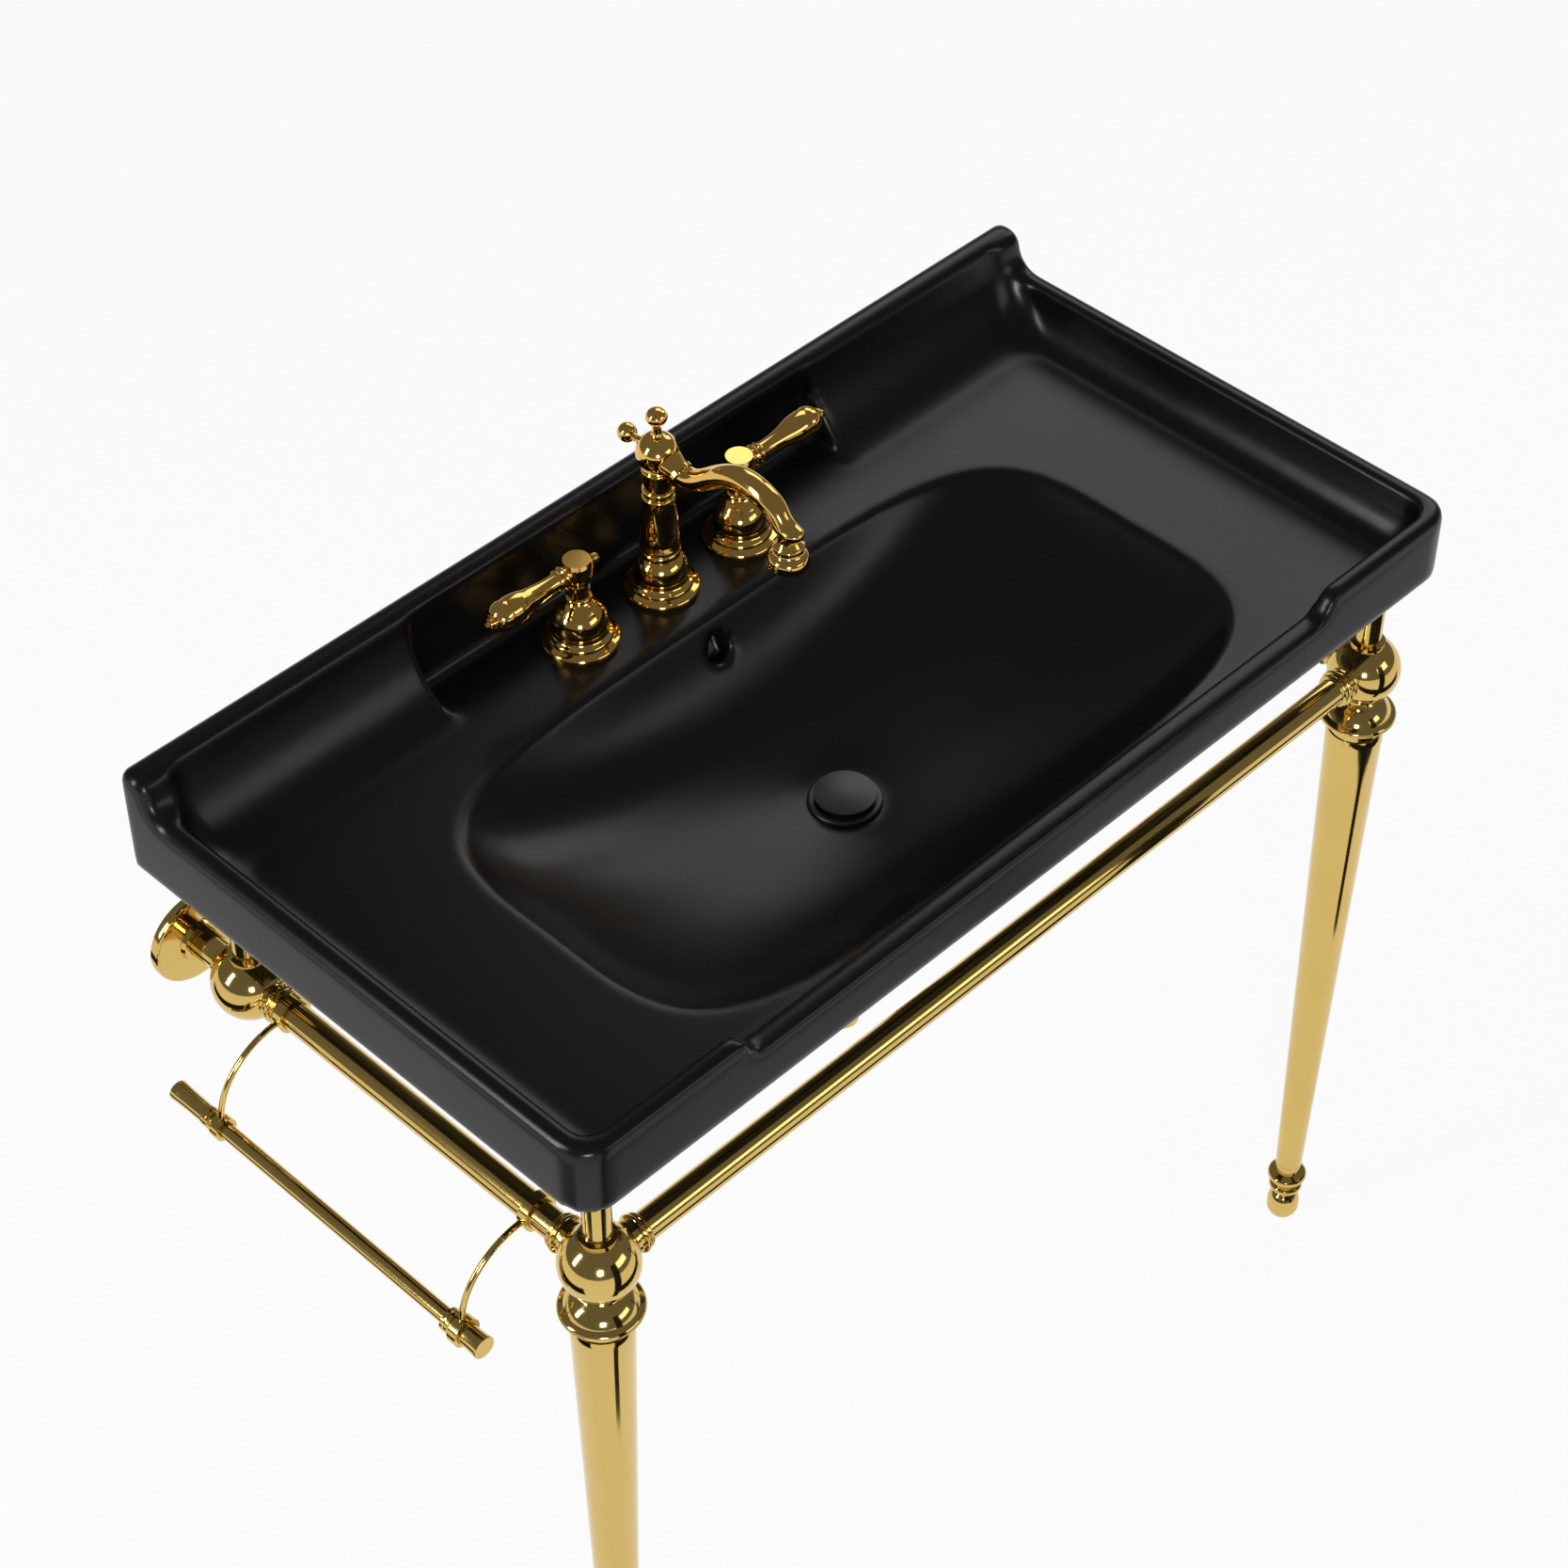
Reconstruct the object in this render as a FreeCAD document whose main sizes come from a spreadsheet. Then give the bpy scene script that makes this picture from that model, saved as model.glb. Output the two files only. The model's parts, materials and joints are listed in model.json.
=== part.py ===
import FreeCAD, Part

import math
import os
import re

import Sketcher

from FreeCAD import Placement, Rotation, Vector

# A console bathroom sink: a ceramic basin on a brass stand with two front legs,
# held to the wall at the back, with towel bars, lever taps and a pop-up waste.
# The origin is on the floor, below the middle. +X is to the right of a person
# at the sink, +Y goes to the wall and +Z goes up. Lengths are in millimetres.

doc = FreeCAD.newDocument("bathroom_sink")

# Driving sizes, one row each: name, value, what it is.
SIZES = (
    ("fit_gap", 0.3, "clearance between two pieces that are put together"),
    ("running_gap", 0.05, "clearance all round a pin that turns or slides"),
    ("free_gap", 0.85, "play of a rod in the eye or strap that moves it"),
    ("overrun", 5, "how far a cutter runs past the face it opens"),
    ("basin_w", 1000, "basin, left to right"),
    ("basin_d", 516, "basin, front to wall"),
    ("apron_z", 855, "floor to the bottom of the basin"),
    ("rim_h", 68, "basin bottom to the top of the rim"),
    ("deck_h", 20.4, "basin bottom to the deck"),
    ("splash_h", 101.6, "basin bottom to the top of the backsplash"),
    ("splash_ledge", 21, "flat top of the backsplash, front to back"),
    ("splash_foot", 62, "reach of the cove at the foot of the backsplash"),
    ("ogee_top", 15, "wall to the start of the curve down to the side rim"),
    ("ogee_drop", 15, "height and reach of the upper curve of the ogee"),
    ("ogee_run", 21, "reach of the lower curve of the ogee"),
    ("lip_drop", 22, "how much lower the middle of the front rim is"),
    ("lip_half", 322, "middle to the foot of the step in the front rim"),
    ("lip_run", 24, "length of each step in the front rim"),
    ("front_corner_r", 28, "front corners of the basin"),
    ("rear_corner_r", 6, "rear corners of the basin"),
    ("rim_t", 18, "rim at its top"),
    ("rim_round", 8, "rounding of the outer edge of the rim"),
    ("side_foot", 27, "reach of the cove at the foot of a side rim"),
    ("front_foot", 13, "reach of the cove at the foot of the front rim"),
    ("hollow_corner_r", 16, "inner corners of the deck"),
    ("slab_t", 12, "ceramic under the deck"),
    ("bearer_w", 78, "flat band under the front and sides that the stand bears on"),
    ("rear_band", 32, "flat band under the back of the basin"),
    ("bowl_half_w", 335, "middle to the side of the bowl at the deck"),
    ("bowl_back", 131, "wall to the rear of the bowl at the deck"),
    ("bowl_front", 478, "wall to the front of the bowl at the deck"),
    ("bowl_h", 102.4, "deck to the drain seat"),
    ("bowl_t", 11, "ceramic of the bowl"),
    ("drain_back", 290, "wall to the middle of the drain"),
    ("neck_h", 26, "ceramic boss round the drain, under the seat"),
    ("neck_r", 37, "outside of the boss round the drain"),
    ("drain_hole_r", 23, "hole for the drain in the boss"),
    ("overflow_r", 10.5, "overflow hole"),
    ("overflow_z", 29, "overflow hole below the deck"),
    ("overflow_back", 143, "wall to the overflow hole in the bowl"),
    ("channel_w", 26, "overflow channel, left to right"),
    ("channel_t", 12, "overflow channel, front to back"),
    ("near_duct", 14, "inside of the bowl to the overflow channel"),
    ("duct_t", 7, "ceramic round the overflow channel"),
    ("recess_half", 228, "middle to the side of the tap recess"),
    ("recess_foot", 28, "wall to the back of the tap recess at the deck"),
    ("tap_back", 76.2, "wall to the middle of the taps"),
    ("tap_half", 92.4, "middle to each lever tap"),
    ("tap_hole_r", 16, "holes for the taps in the deck"),
    ("shank_r", 13, "threaded shank of a tap"),
    ("shank_l", 58, "shank below the deck"),
    ("washer_r", 24, "rubber washer under the deck"),
    ("washer_t", 3, "rubber washer under the deck"),
    ("nut_af", 40, "lock nut across its flats"),
    ("nut_t", 8, "lock nut"),
    ("inlet_r", 10.5, "threaded inlet of a valve"),
    ("inlet_l", 20, "threaded inlet of a valve"),
    ("spindle_r", 4, "spindle that the lever turns"),
    ("spindle_l", 62, "spindle from the deck up"),
    ("tap_base_r", 33.5, "foot of a lever tap"),
    ("tap_bell_r", 23.8, "bell of a lever tap"),
    ("tap_bell_h", 43.5, "height of the bell of a lever tap"),
    ("tap_neck_r", 10.8, "neck above the bell"),
    ("tap_neck_h", 14.5, "height of the neck"),
    ("tap_hub_r", 13.2, "hub that carries the lever"),
    ("tap_hub_h", 29, "height of the hub"),
    ("nub_r", 4.6, "cap of the screw that holds the lever"),
    ("nub_l", 9, "how far the cap stands out"),
    ("lever_l", 86, "lever from the hub to its tip"),
    ("lever_root_r", 7.6, "lever beside the hub"),
    ("lever_belly_r", 13, "lever at its fattest"),
    ("spout_base_r", 32.9, "foot of the spout"),
    ("spout_bell_r", 22.9, "bell of the spout"),
    ("spout_bell_h", 37.6, "height of the bell of the spout"),
    ("column_r", 16.3, "column of the spout at its belly"),
    ("column_top_r", 12.4, "column of the spout at its top"),
    ("column_h", 71, "height of the column"),
    ("barrel_h", 19.5, "height of the barrel under the hub ball"),
    ("hub_ball_r", 18, "ball that the spout springs from"),
    ("spout_reach", 148.3, "middle of the column to the middle of the outlet"),
    ("spout_dip", 16, "how far the spout points down as it leaves the ball, in degrees"),
    ("spout_rise", 28, "hub ball to the top of the spout's middle line"),
    ("spout_root_r", 9.3, "spout beside the ball"),
    ("spout_neck_l", 11, "cone between the ball and the collar of the spout"),
    ("spout_tip_r", 9.2, "spout above the outlet"),
    ("outlet_drop", 4, "hub ball to the top of the outlet bell"),
    ("outlet_h", 26, "height of the outlet bell"),
    ("outlet_r", 17.2, "outlet bell at its mouth"),
    ("finial_stem", 24, "middle of the hub ball to the rear knob"),
    ("finial_r", 8.3, "rear knob"),
    ("lift_r", 2.5, "lift rod"),
    ("lift_knob_r", 9.2, "knob of the lift rod"),
    ("lift_knob_z", 35.5, "middle of the hub ball to the middle of the knob"),
    ("lift_below", 128, "lift rod below the deck"),
    ("flange_r", 31.5, "drain flange"),
    ("flange_t", 3.6, "drain flange above its seat"),
    ("waste_r", 19.5, "threaded tube of the drain flange"),
    ("waste_bore", 17, "bore of the drain flange"),
    ("waste_l", 66, "threaded tube below the seat"),
    ("seal_t", 8, "rubber seal under the boss"),
    ("drain_nut_r", 31, "lock nut under the seal"),
    ("drain_nut_t", 9, "lock nut under the seal"),
    ("body_r", 23, "lower body of the drain"),
    ("body_l", 62, "lower body of the drain"),
    ("body_grip", 14, "how far the lower body is screwed onto the flange's tube"),
    ("tail_r", 15.9, "tailpiece"),
    ("tail_wall", 1.5, "wall of the tailpiece"),
    ("tail_l", 150, "tailpiece below the lower body"),
    ("port_r", 12.5, "port for the pivot rod"),
    ("port_l", 14, "port beyond the lower body"),
    ("port_nut_l", 8.5, "nut that keeps the pivot ball in its port"),
    ("pivot_back", 28, "middle of the drain to the middle of the pivot ball"),
    ("pivot_ball_r", 8, "pivot ball"),
    ("pivot_rod_r", 2.5, "pivot rod"),
    ("pivot_arm", 92, "pivot ball to the strap"),
    ("pivot_end", 14, "pivot rod beyond the strap"),
    ("stopper_r", 26, "stopper cap"),
    ("stopper_t", 4.5, "stopper cap at its edge"),
    ("stopper_crown", 2.2, "rise of the stopper's top"),
    ("stopper_rise", 5.5, "how far the open stopper stands off its seat"),
    ("stem_r", 4, "stem of the stopper"),
    ("stem_tab_t", 3.6, "flat of the stem round the eye"),
    ("strap_w", 12, "strap between the rods"),
    ("strap_t", 1.6, "thickness of the strap"),
    ("strap_tail", 36, "strap below the pivot rod"),
    ("rail_x", 456.6, "middle to the side rails"),
    ("rail_front", 476.6, "wall to the front rail"),
    ("rail_rear", 73.6, "wall to the rear ball joints"),
    ("rail_drop", 111.5, "basin bottom to the middle of the rails"),
    ("joint_r", 32.3, "ball joint"),
    ("joint_flat", 28.5, "middle of a ball joint to the flat that a rail seats on"),
    ("rail_r", 12.5, "rail tube"),
    ("collar_r", 15.2, "collar at the end of a rail"),
    ("spigot_r", 8, "spigot of a rail, leg or post"),
    ("spigot_l", 12, "length of a spigot"),
    ("post_r", 11.5, "post between a ball joint and the basin"),
    ("post_flange_r", 22, "flange of a post"),
    ("pad_t", 2, "rubber pad on a post"),
    ("bell_r", 32.3, "collar at the top of a leg"),
    ("bell_h", 40, "height of that collar"),
    ("leg_top_r", 25.5, "leg under its collar"),
    ("ankle_r", 12.8, "leg at the ankle"),
    ("foot_r", 15.6, "ball foot"),
    ("foot_h", 78, "turned foot with its rings"),
    ("wall_plate_r", 30, "plate on the wall"),
    ("wall_plate_t", 5, "plate on the wall"),
    ("wall_cover_r", 42, "cover over the plate"),
    ("wall_cover_t", 10, "depth of the cover"),
    ("wall_hole_r", 2.75, "screw holes in the plate"),
    ("wall_hole_pcd", 42, "circle of the screw holes"),
    ("stub_r", 13.5, "tube from a rear ball joint to the wall"),
    ("bar_out", 79.4, "side rail to the towel bar, outwards"),
    ("bar_drop", 72, "side rail to the towel bar, down"),
    ("bar_r", 6.8, "towel bar"),
    ("bar_sleeve_r", 9.3, "sleeve at each end of the towel bar"),
    ("bar_sleeve_l", 46, "sleeve at each end of the towel bar"),
    ("bar_front", 432, "wall to the front end of the towel bar"),
    ("bar_rear", 68, "wall to the rear end of the towel bar"),
    ("arm_r", 2.6, "arm that carries the towel bar"),
    ("arm_front", 408, "wall to the front arm of a towel bar"),
    ("arm_rear", 124, "wall to the rear arm of a towel bar"),
    ("arm_ring_w", 9, "ring of an arm, along the rail or bar"),
    ("arm_ring_t", 3.2, "wall of an arm's ring"),
)

sheet = doc.addObject("Spreadsheet::Sheet", "Sizes")
for row, (size_name, size_value, meaning) in enumerate(SIZES, 1):
    sheet.set("A%d" % row, meaning)
    sheet.set("B%d" % row, str(size_value))
    sheet.setAlias("B%d" % row, size_name)
doc.recompute()

SIZE_NAMES = {size[0] for size in SIZES}

UPRIGHT = Rotation()
TO_RIGHT = Rotation(Vector(0, 1, 0), 90)
TO_LEFT = Rotation(Vector(0, 1, 0), -90)
TO_WALL = Rotation(Vector(1, 0, 0), -90)
TO_FRONT = Rotation(Vector(1, 0, 0), 90)
DOWN = Rotation(Vector(1, 0, 0), 180)

# Which way the arc that arrives at a corner bulges.
OUT = 1
IN = -1

# Places that several pieces share, worked out from the sizes.
WALL = "(basin_d / 2)"
DECK = "(apron_z + deck_h)"
SEAT = "(apron_z + deck_h - bowl_h)"
NECK = "(apron_z + deck_h - bowl_h - neck_h)"
SLAB = "(apron_z + deck_h - slab_t)"
RAIL_Z = "(apron_z - rail_drop)"
TAP_Y = "(basin_d / 2 - tap_back)"
DRAIN_Y = "(basin_d / 2 - drain_back)"
HUB_Z = "(apron_z + deck_h + spout_bell_h + column_h + barrel_h + hub_ball_r * 0.92)"
BODY_Z = "(apron_z + deck_h - bowl_h - waste_l + body_grip)"

kept = []


def linked(formula):
    """A formula with each size name pointed at its cell in the sheet."""
    def cell(match):
        word = match.group(0)
        return "Sizes." + word if word in SIZE_NAMES else word
    return re.sub(r"[a-z][a-z_0-9]*", cell, formula)


def mm(formula):
    """The value of a formula of sizes."""
    value = sheet.evalExpression(linked(formula))
    return float(getattr(value, "Value", value))


def keep(piece, name):
    """Names a finished sub-part, which is then written out."""
    piece.Label = name
    kept.append(piece)
    return piece


def place(piece, across="0", back="0", up="0", turn=UPRIGHT):
    """Puts a piece at a place that follows the sheet."""
    piece.Placement = Placement(Vector(mm(across), mm(back), mm(up)), turn)
    for axis, formula in zip("xyz", (across, back, up)):
        piece.setExpression("Placement.Base." + axis, linked(formula))
    return piece


def draw(sketch, corners):
    """Draws a closed outline whose corners and arcs are bound to the sheet.

    A corner is (across, up), or (across, up, radius, way) where an arc arrives
    at it. The way is OUT for an arc that bulges away from the outline, which
    runs anticlockwise, and IN for one that is hollow.
    """
    spots = [Vector(mm(corner[0]), mm(corner[1]), 0) for corner in corners]
    ends = []
    for index, corner in enumerate(corners):
        start, end = spots[index - 1], spots[index]
        if len(corner) == 2:
            edge = sketch.addGeometry(Part.LineSegment(start, end))
            ends.append((edge, 1, 2))
            continue
        chord = end - start
        radius = mm(corner[2])
        side = Vector(chord.y, -chord.x, 0) / chord.Length
        rise = math.sqrt(max(radius ** 2 - chord.Length ** 2 / 4, 0))
        middle = (start + end) / 2 - side * (rise * corner[3])
        circle = Part.Circle(middle, Vector(0, 0, 1), radius)
        turns = [math.atan2(spot.y - middle.y, spot.x - middle.x) for spot in (start, end)]
        if corner[3] == IN:
            turns.reverse()
        edge = sketch.addGeometry(Part.ArcOfCircle(circle, turns[0], turns[1]))
        ends.append((edge, 1, 2) if corner[3] == OUT else (edge, 2, 1))
        bind(sketch, ("Radius", edge, radius), corner[2])
    for index, corner in enumerate(corners):
        edge, _, finish = ends[index]
        onward, begin, _ = ends[(index + 1) % len(corners)]
        sketch.addConstraint(Sketcher.Constraint("Coincident", edge, finish, onward, begin))
        for kind, formula, axis in (("DistanceX", corner[0], -2), ("DistanceY", corner[1], -1)):
            if formula == "0":
                sketch.addConstraint(Sketcher.Constraint("PointOnObject", edge, finish, axis))
            else:
                bind(sketch, (kind, -1, 1, edge, finish, mm(formula)), formula)


def bind(sketch, constraint, formula):
    """Adds a constraint whose value follows the sheet."""
    index = sketch.addConstraint(Sketcher.Constraint(*constraint))
    sketch.setExpression("Constraints[%d]" % index, linked(formula))


def new_body(name, role, corners):
    """A body with one sketch on its own plane."""
    body = doc.addObject("PartDesign::Body", name)
    return body, add_sketch(body, role, corners)


def add_sketch(body, role, corners):
    plane = next(item for item in body.Origin.OriginFeatures if item.Role == role)
    sketch = body.newObject("Sketcher::SketchObject", body.Name + "_outline")
    sketch.AttachmentSupport = (plane, "")
    sketch.MapMode = "FlatFace"
    draw(sketch, corners)
    return sketch


def turned(name, corners, *where, **turn):
    """A body turned on a lathe: its corners are (radius, height)."""
    body, sketch = new_body(name, "XZ_Plane", corners)
    lathe = body.newObject("PartDesign::Revolution", name + "_turned")
    lathe.Profile = sketch
    lathe.ReferenceAxis = (sketch, ["V_Axis"])
    lathe.Angle = 360
    body.Tip = lathe
    return place(body, *where, **turn)


def padded(name, role, corners, length, *where, **turn):
    """A body pushed out alike to both sides of its sketch."""
    body, sketch = new_body(name, role, corners)
    pad = body.newObject("PartDesign::Pad", name + "_pad")
    pad.Profile = sketch
    pad.Midplane = True
    pad.setExpression("Length", linked(length))
    body.Tip = pad
    return place(body, *where, **turn)


def cylinder(name, radius, height, *where, **turn):
    rod = doc.addObject("Part::Cylinder", name)
    rod.setExpression("Radius", linked(radius))
    rod.setExpression("Height", linked(height))
    return place(rod, *where, **turn)


def ball(name, radius, *where):
    sphere = doc.addObject("Part::Sphere", name)
    sphere.setExpression("Radius", linked(radius))
    return place(sphere, *where)


def block(name, length, width, height, *where, **turn):
    box = doc.addObject("Part::Box", name)
    for side, formula in (("Length", length), ("Width", width), ("Height", height)):
        box.setExpression(side, linked(formula))
    return place(box, *where, **turn)


def prism(name, across_flats, height, *where, **turn):
    """A hexagon bar, for nuts."""
    bar = doc.addObject("Part::Prism", name)
    bar.Polygon = 6
    bar.setExpression("Circumradius", linked("(%s) / 2 / cos(30)" % across_flats))
    bar.setExpression("Height", linked(height))
    return place(bar, *where, **turn)


def fused(name, pieces):
    whole = doc.addObject("Part::MultiFuse", name)
    whole.Shapes = pieces
    whole.Refine = False
    return whole


def cut(name, base, tools):
    """A base with one or more tools taken away."""
    result = doc.addObject("Part::Cut", name)
    result.Base = base
    result.Tool = tools[0] if len(tools) == 1 else fused(name + "_tools", tools)
    result.Refine = False
    return result


def in_turn(kind, name, base, pieces):
    """A base with pieces added, or tools taken away, one after another."""
    for number, piece in enumerate(pieces):
        step = doc.addObject(kind, "%s_%d" % (name, number))
        step.Base = base
        step.Tool = piece
        step.Refine = False
        base = step
    return base


def group(name, pieces):
    """Identical pieces that share one node, each still a solid of its own."""
    whole = doc.addObject("Part::Compound", name)
    whole.Links = pieces
    return whole


def shaped(name, shape):
    """A form that no sketch or primitive gives."""
    piece = doc.addObject("Part::Feature", name)
    piece.Shape = shape
    return piece


# The basin

def rounded_wire(half, front, back, front_r, back_r, up):
    """A level wire with round corners: half its width, and its front and back."""
    corners = ((half, front, front_r), (half, back, back_r), (-half, back, back_r), (-half, front, front_r))
    edges = []
    for index, (across, along, radius) in enumerate(corners):
        right, rear = math.copysign(1, across), 1 if along == back else -1
        centre = Vector(across - right * radius, along - rear * radius, up)
        begin = Vector(across, centre.y, up) if right * rear > 0 else Vector(centre.x, along, up)
        finish = Vector(centre.x, along, up) if right * rear > 0 else Vector(across, centre.y, up)
        if index == 0:
            first = begin
        else:
            edges.append(Part.LineSegment(last, begin).toShape())
        diagonal = Vector(right, rear, 0).normalize() * radius
        edges.append(Part.Arc(begin, centre + diagonal, finish).toShape())
        last = finish
    edges.append(Part.LineSegment(last, first).toShape())
    return Part.Wire(edges)


def oval_wire(half, front, back, squareness, up, points=28):
    """A level wire between a box and an ellipse, as a smooth closed curve."""
    middle, reach = (front + back) / 2, (back - front) / 2
    spots = []
    for step in range(points):
        turn = 2 * math.pi * step / points
        across = math.copysign(abs(math.cos(turn)) ** (2 / squareness), math.cos(turn))
        along = math.copysign(abs(math.sin(turn)) ** (2 / squareness), math.sin(turn))
        spots.append(Vector(half * across, middle + reach * along, up))
    curve = Part.BSplineCurve()
    curve.interpolate(spots, PeriodicFlag=True)
    return Part.Wire(curve.toShape())


def deck_hollow():
    """The space over the deck, whose sides rise to the rims in hollow coves."""
    wall, deck = mm(WALL), mm(DECK)
    top = mm("splash_h - deck_h")
    rim = mm("rim_h - deck_h")
    radius = mm("hollow_corner_r")
    side = mm("basin_w / 2 - rim_t")
    front = mm("rim_t - basin_d / 2")
    levels = []
    for share in HOLLOW_LEVEL_SHARES:
        cove = 1 - math.sqrt(1 - (1 - share) ** 2)
        near = 1 - math.sqrt(1 - (1 - min(share * top / rim, 1)) ** 2)
        back = wall - mm("splash_ledge") - mm("splash_foot") * (0.72 * cove + 0.28 * (1 - share))
        levels.append(rounded_wire(side - mm("side_foot") * near, front + mm("front_foot") * near,
                                   back, radius, radius * 1.6, deck + share * top))
    return Part.makeLoft(levels, True, False)


HOLLOW_LEVEL_SHARES = (0, 0.06, 0.16, 0.32, 0.55, 0.78, 1)

# How far down each level of the bowl lies, and how much of its half width and
# of its front and back reach is left there, from the deck to the drain seat.
BOWL_SHARES = (
    (0.00, 1.000, 1.000, 4.4),
    (0.10, 0.970, 0.965, 4.2),
    (0.30, 0.890, 0.895, 3.7),
    (0.55, 0.730, 0.775, 3.1),
    (0.78, 0.490, 0.590, 2.6),
    (0.93, 0.240, 0.340, 2.2),
)


def bowl_form(grow, lower):
    """The bowl as a solid, made larger all round for its outside."""
    front, back = mm(WALL) - mm("bowl_front"), mm(WALL) - mm("bowl_back")
    middle = mm(DRAIN_Y)
    wires = []
    for down, across, along, squareness in BOWL_SHARES:
        half = mm("bowl_half_w") * across + grow
        reach_front = middle + (front - middle) * along - grow
        reach_back = middle + (back - middle) * along + grow
        up = mm(DECK) - mm("bowl_h") * down - lower
        wires.append(oval_wire(half, reach_front, reach_back, squareness, up))
    seat = mm("flange_r + flange_t") + grow / 2
    wires.append(oval_wire(seat, middle - seat, middle + seat, 2, mm(SEAT) - lower))
    return Part.makeLoft(wires, True, False)


def make_basin():
    side = doc.addObject("Sketcher::SketchObject", "basin_side")
    side.Placement = Placement(Vector(0, 0, 0), Rotation(Vector(1, 1, 1), 120))
    draw(side, (
        ("-basin_d / 2", "apron_z"),
        (WALL, "apron_z"),
        (WALL, "apron_z + splash_h"),
        (WALL + " - ogee_top", "apron_z + splash_h"),
        (WALL + " - ogee_top - ogee_drop", "apron_z + splash_h - ogee_drop", "ogee_drop * 1.05", OUT),
        (WALL + " - ogee_top - ogee_drop - ogee_run", "apron_z + rim_h", "ogee_run * 1.02", IN),
        ("-basin_d / 2", "apron_z + rim_h"),
    ))
    bulk = doc.addObject("Part::Extrusion", "basin_bulk")
    bulk.Base = side
    bulk.DirMode = "Normal"
    bulk.Symmetric = True
    bulk.Solid = True
    bulk.setExpression("LengthFwd", linked("basin_w"))
    doc.recompute()

    cornered = doc.addObject("Part::Fillet", "basin_corners")
    cornered.Base = bulk
    cornered.Edges = [
        (number, mm(radius), mm(radius))
        for number, radius in corner_edges(bulk.Shape)
    ]
    doc.recompute()

    rounded = doc.addObject("Part::Fillet", "basin_rounded")
    rounded.Base = cornered
    rounded.Edges = [
        (number, mm("rim_round"), mm("rim_round"))
        for number, edge in enumerate(cornered.Shape.Edges, 1)
        if is_rim_edge(edge)
    ]
    doc.recompute()

    lip = lip_cutter()
    recess = padded("recess", "YZ_Plane", (
        (WALL + " - splash_ledge", "apron_z + splash_h + overrun"),
        (WALL + " - recess_foot + overrun / 2", DECK + " + overrun"),
        (WALL + " - recess_foot - overrun / 2", DECK, "overrun * 1.1", IN),
        (WALL + " - splash_ledge - splash_foot - overrun", DECK),
        (WALL + " - splash_ledge - splash_foot - overrun", "apron_z + splash_h + overrun"),
    ), "recess_half * 2")
    under = block("underside", "basin_w - bearer_w * 2", "basin_d - bearer_w - rear_band",
                  "deck_h - slab_t + overrun",
                  "bearer_w - basin_w / 2", "bearer_w - basin_d / 2", "apron_z - overrun")
    tray = in_turn("Part::Cut", "basin_tray", rounded, [shaped("deck_hollow", deck_hollow()), lip, recess, under])

    outside = shaped("bowl_outside", bowl_form(mm("bowl_t"), mm("bowl_t")))
    above = block("above_slab", "basin_w", "basin_d", "splash_h", "-basin_w / 2", "-basin_d / 2", SLAB + " + bowl_t / 2")
    shell = cut("bowl_shell", outside, [above])
    neck = cylinder("neck", "neck_r", "neck_h + bowl_t", "0", DRAIN_Y, NECK)
    duct = overflow_form("overflow_duct", "channel_w + duct_t * 2", "bowl_t / 2",
                         "near_duct + channel_t + duct_t", SLAB + " + slab_t / 2")
    whole = in_turn("Part::Fuse", "basin_solid", tray, [shell, neck, duct])

    channel = overflow_form("overflow_channel", "channel_w", "near_duct",
                            "near_duct + channel_t", DECK + " - bowl_h * 0.18")
    mouth = cylinder("overflow_mouth", "overflow_r", "channel_t * 2.6",
                     "0", WALL + " - overflow_back - channel_t * 1.3", DECK + " - overflow_z", turn=TO_WALL)
    bores = [cylinder("drain_hole", "drain_hole_r", "neck_h + bowl_t + overrun", "0", DRAIN_Y, NECK + " - overrun")]
    for hole, across in (("left_tap_hole", "-tap_half"), ("spout_hole", "0"), ("right_tap_hole", "tap_half")):
        bores.append(cylinder(hole, "tap_hole_r", "slab_t + overrun * 2", across, TAP_Y, SLAB + " - overrun"))
    inside = shaped("bowl_inside", bowl_form(0, 0))
    keep(in_turn("Part::Cut", "basin_pierced", whole, [inside, channel, mouth] + bores), "basin")


def corner_edges(shape):
    """The upright corners of the block, with the radius each one gets."""
    for number, edge in enumerate(shape.Edges, 1):
        low, high = edge.BoundBox.ZMin, edge.BoundBox.ZMax
        if edge.BoundBox.XLength + edge.BoundBox.YLength < mm("fit_gap") and high > low:
            front = edge.CenterOfMass.y < 0
            yield number, "front_corner_r" if front else "rear_corner_r"


def is_rim_edge(edge):
    """Whether an edge runs along the outer top edge of the rims."""
    box = edge.BoundBox
    high = box.ZMin > mm("apron_z + rim_h / 2")
    front = box.YMax < mm("front_corner_r - basin_d / 2 + fit_gap")
    side = box.XLength < mm("fit_gap") and abs(edge.CenterOfMass.x) > mm("basin_w / 2 - fit_gap")
    forward = box.YMin < mm(WALL + " - rear_corner_r - fit_gap")
    return high and forward and (front or side)


def lip_cutter():
    """What is cut from the front rim, with a soft step at each end."""
    top, low = "apron_z + rim_h + overrun", "apron_z + rim_h - lip_drop"
    body, _ = new_body("lip_cut", "XZ_Plane", (
        ("-lip_half", low, "lip_run * 0.72", OUT),
        ("lip_half", low),
        ("lip_half + lip_run / 2", low + " + lip_drop / 2", "lip_run * 0.72", OUT),
        ("lip_half + lip_run", "apron_z + rim_h", "lip_run * 0.72", IN),
        ("lip_half + lip_run", top),
        ("-lip_half - lip_run", top),
        ("-lip_half - lip_run", "apron_z + rim_h"),
        ("-lip_half - lip_run / 2", low + " + lip_drop / 2", "lip_run * 0.72", IN),
    ))
    pad = body.newObject("PartDesign::Pad", "lip_cut_pad")
    pad.Profile = body.Group[0]
    pad.Midplane = True
    pad.setExpression("Length", linked("rim_t * 4"))
    body.Tip = pad
    return place(body, "0", "-basin_d / 2", "0")


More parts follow.
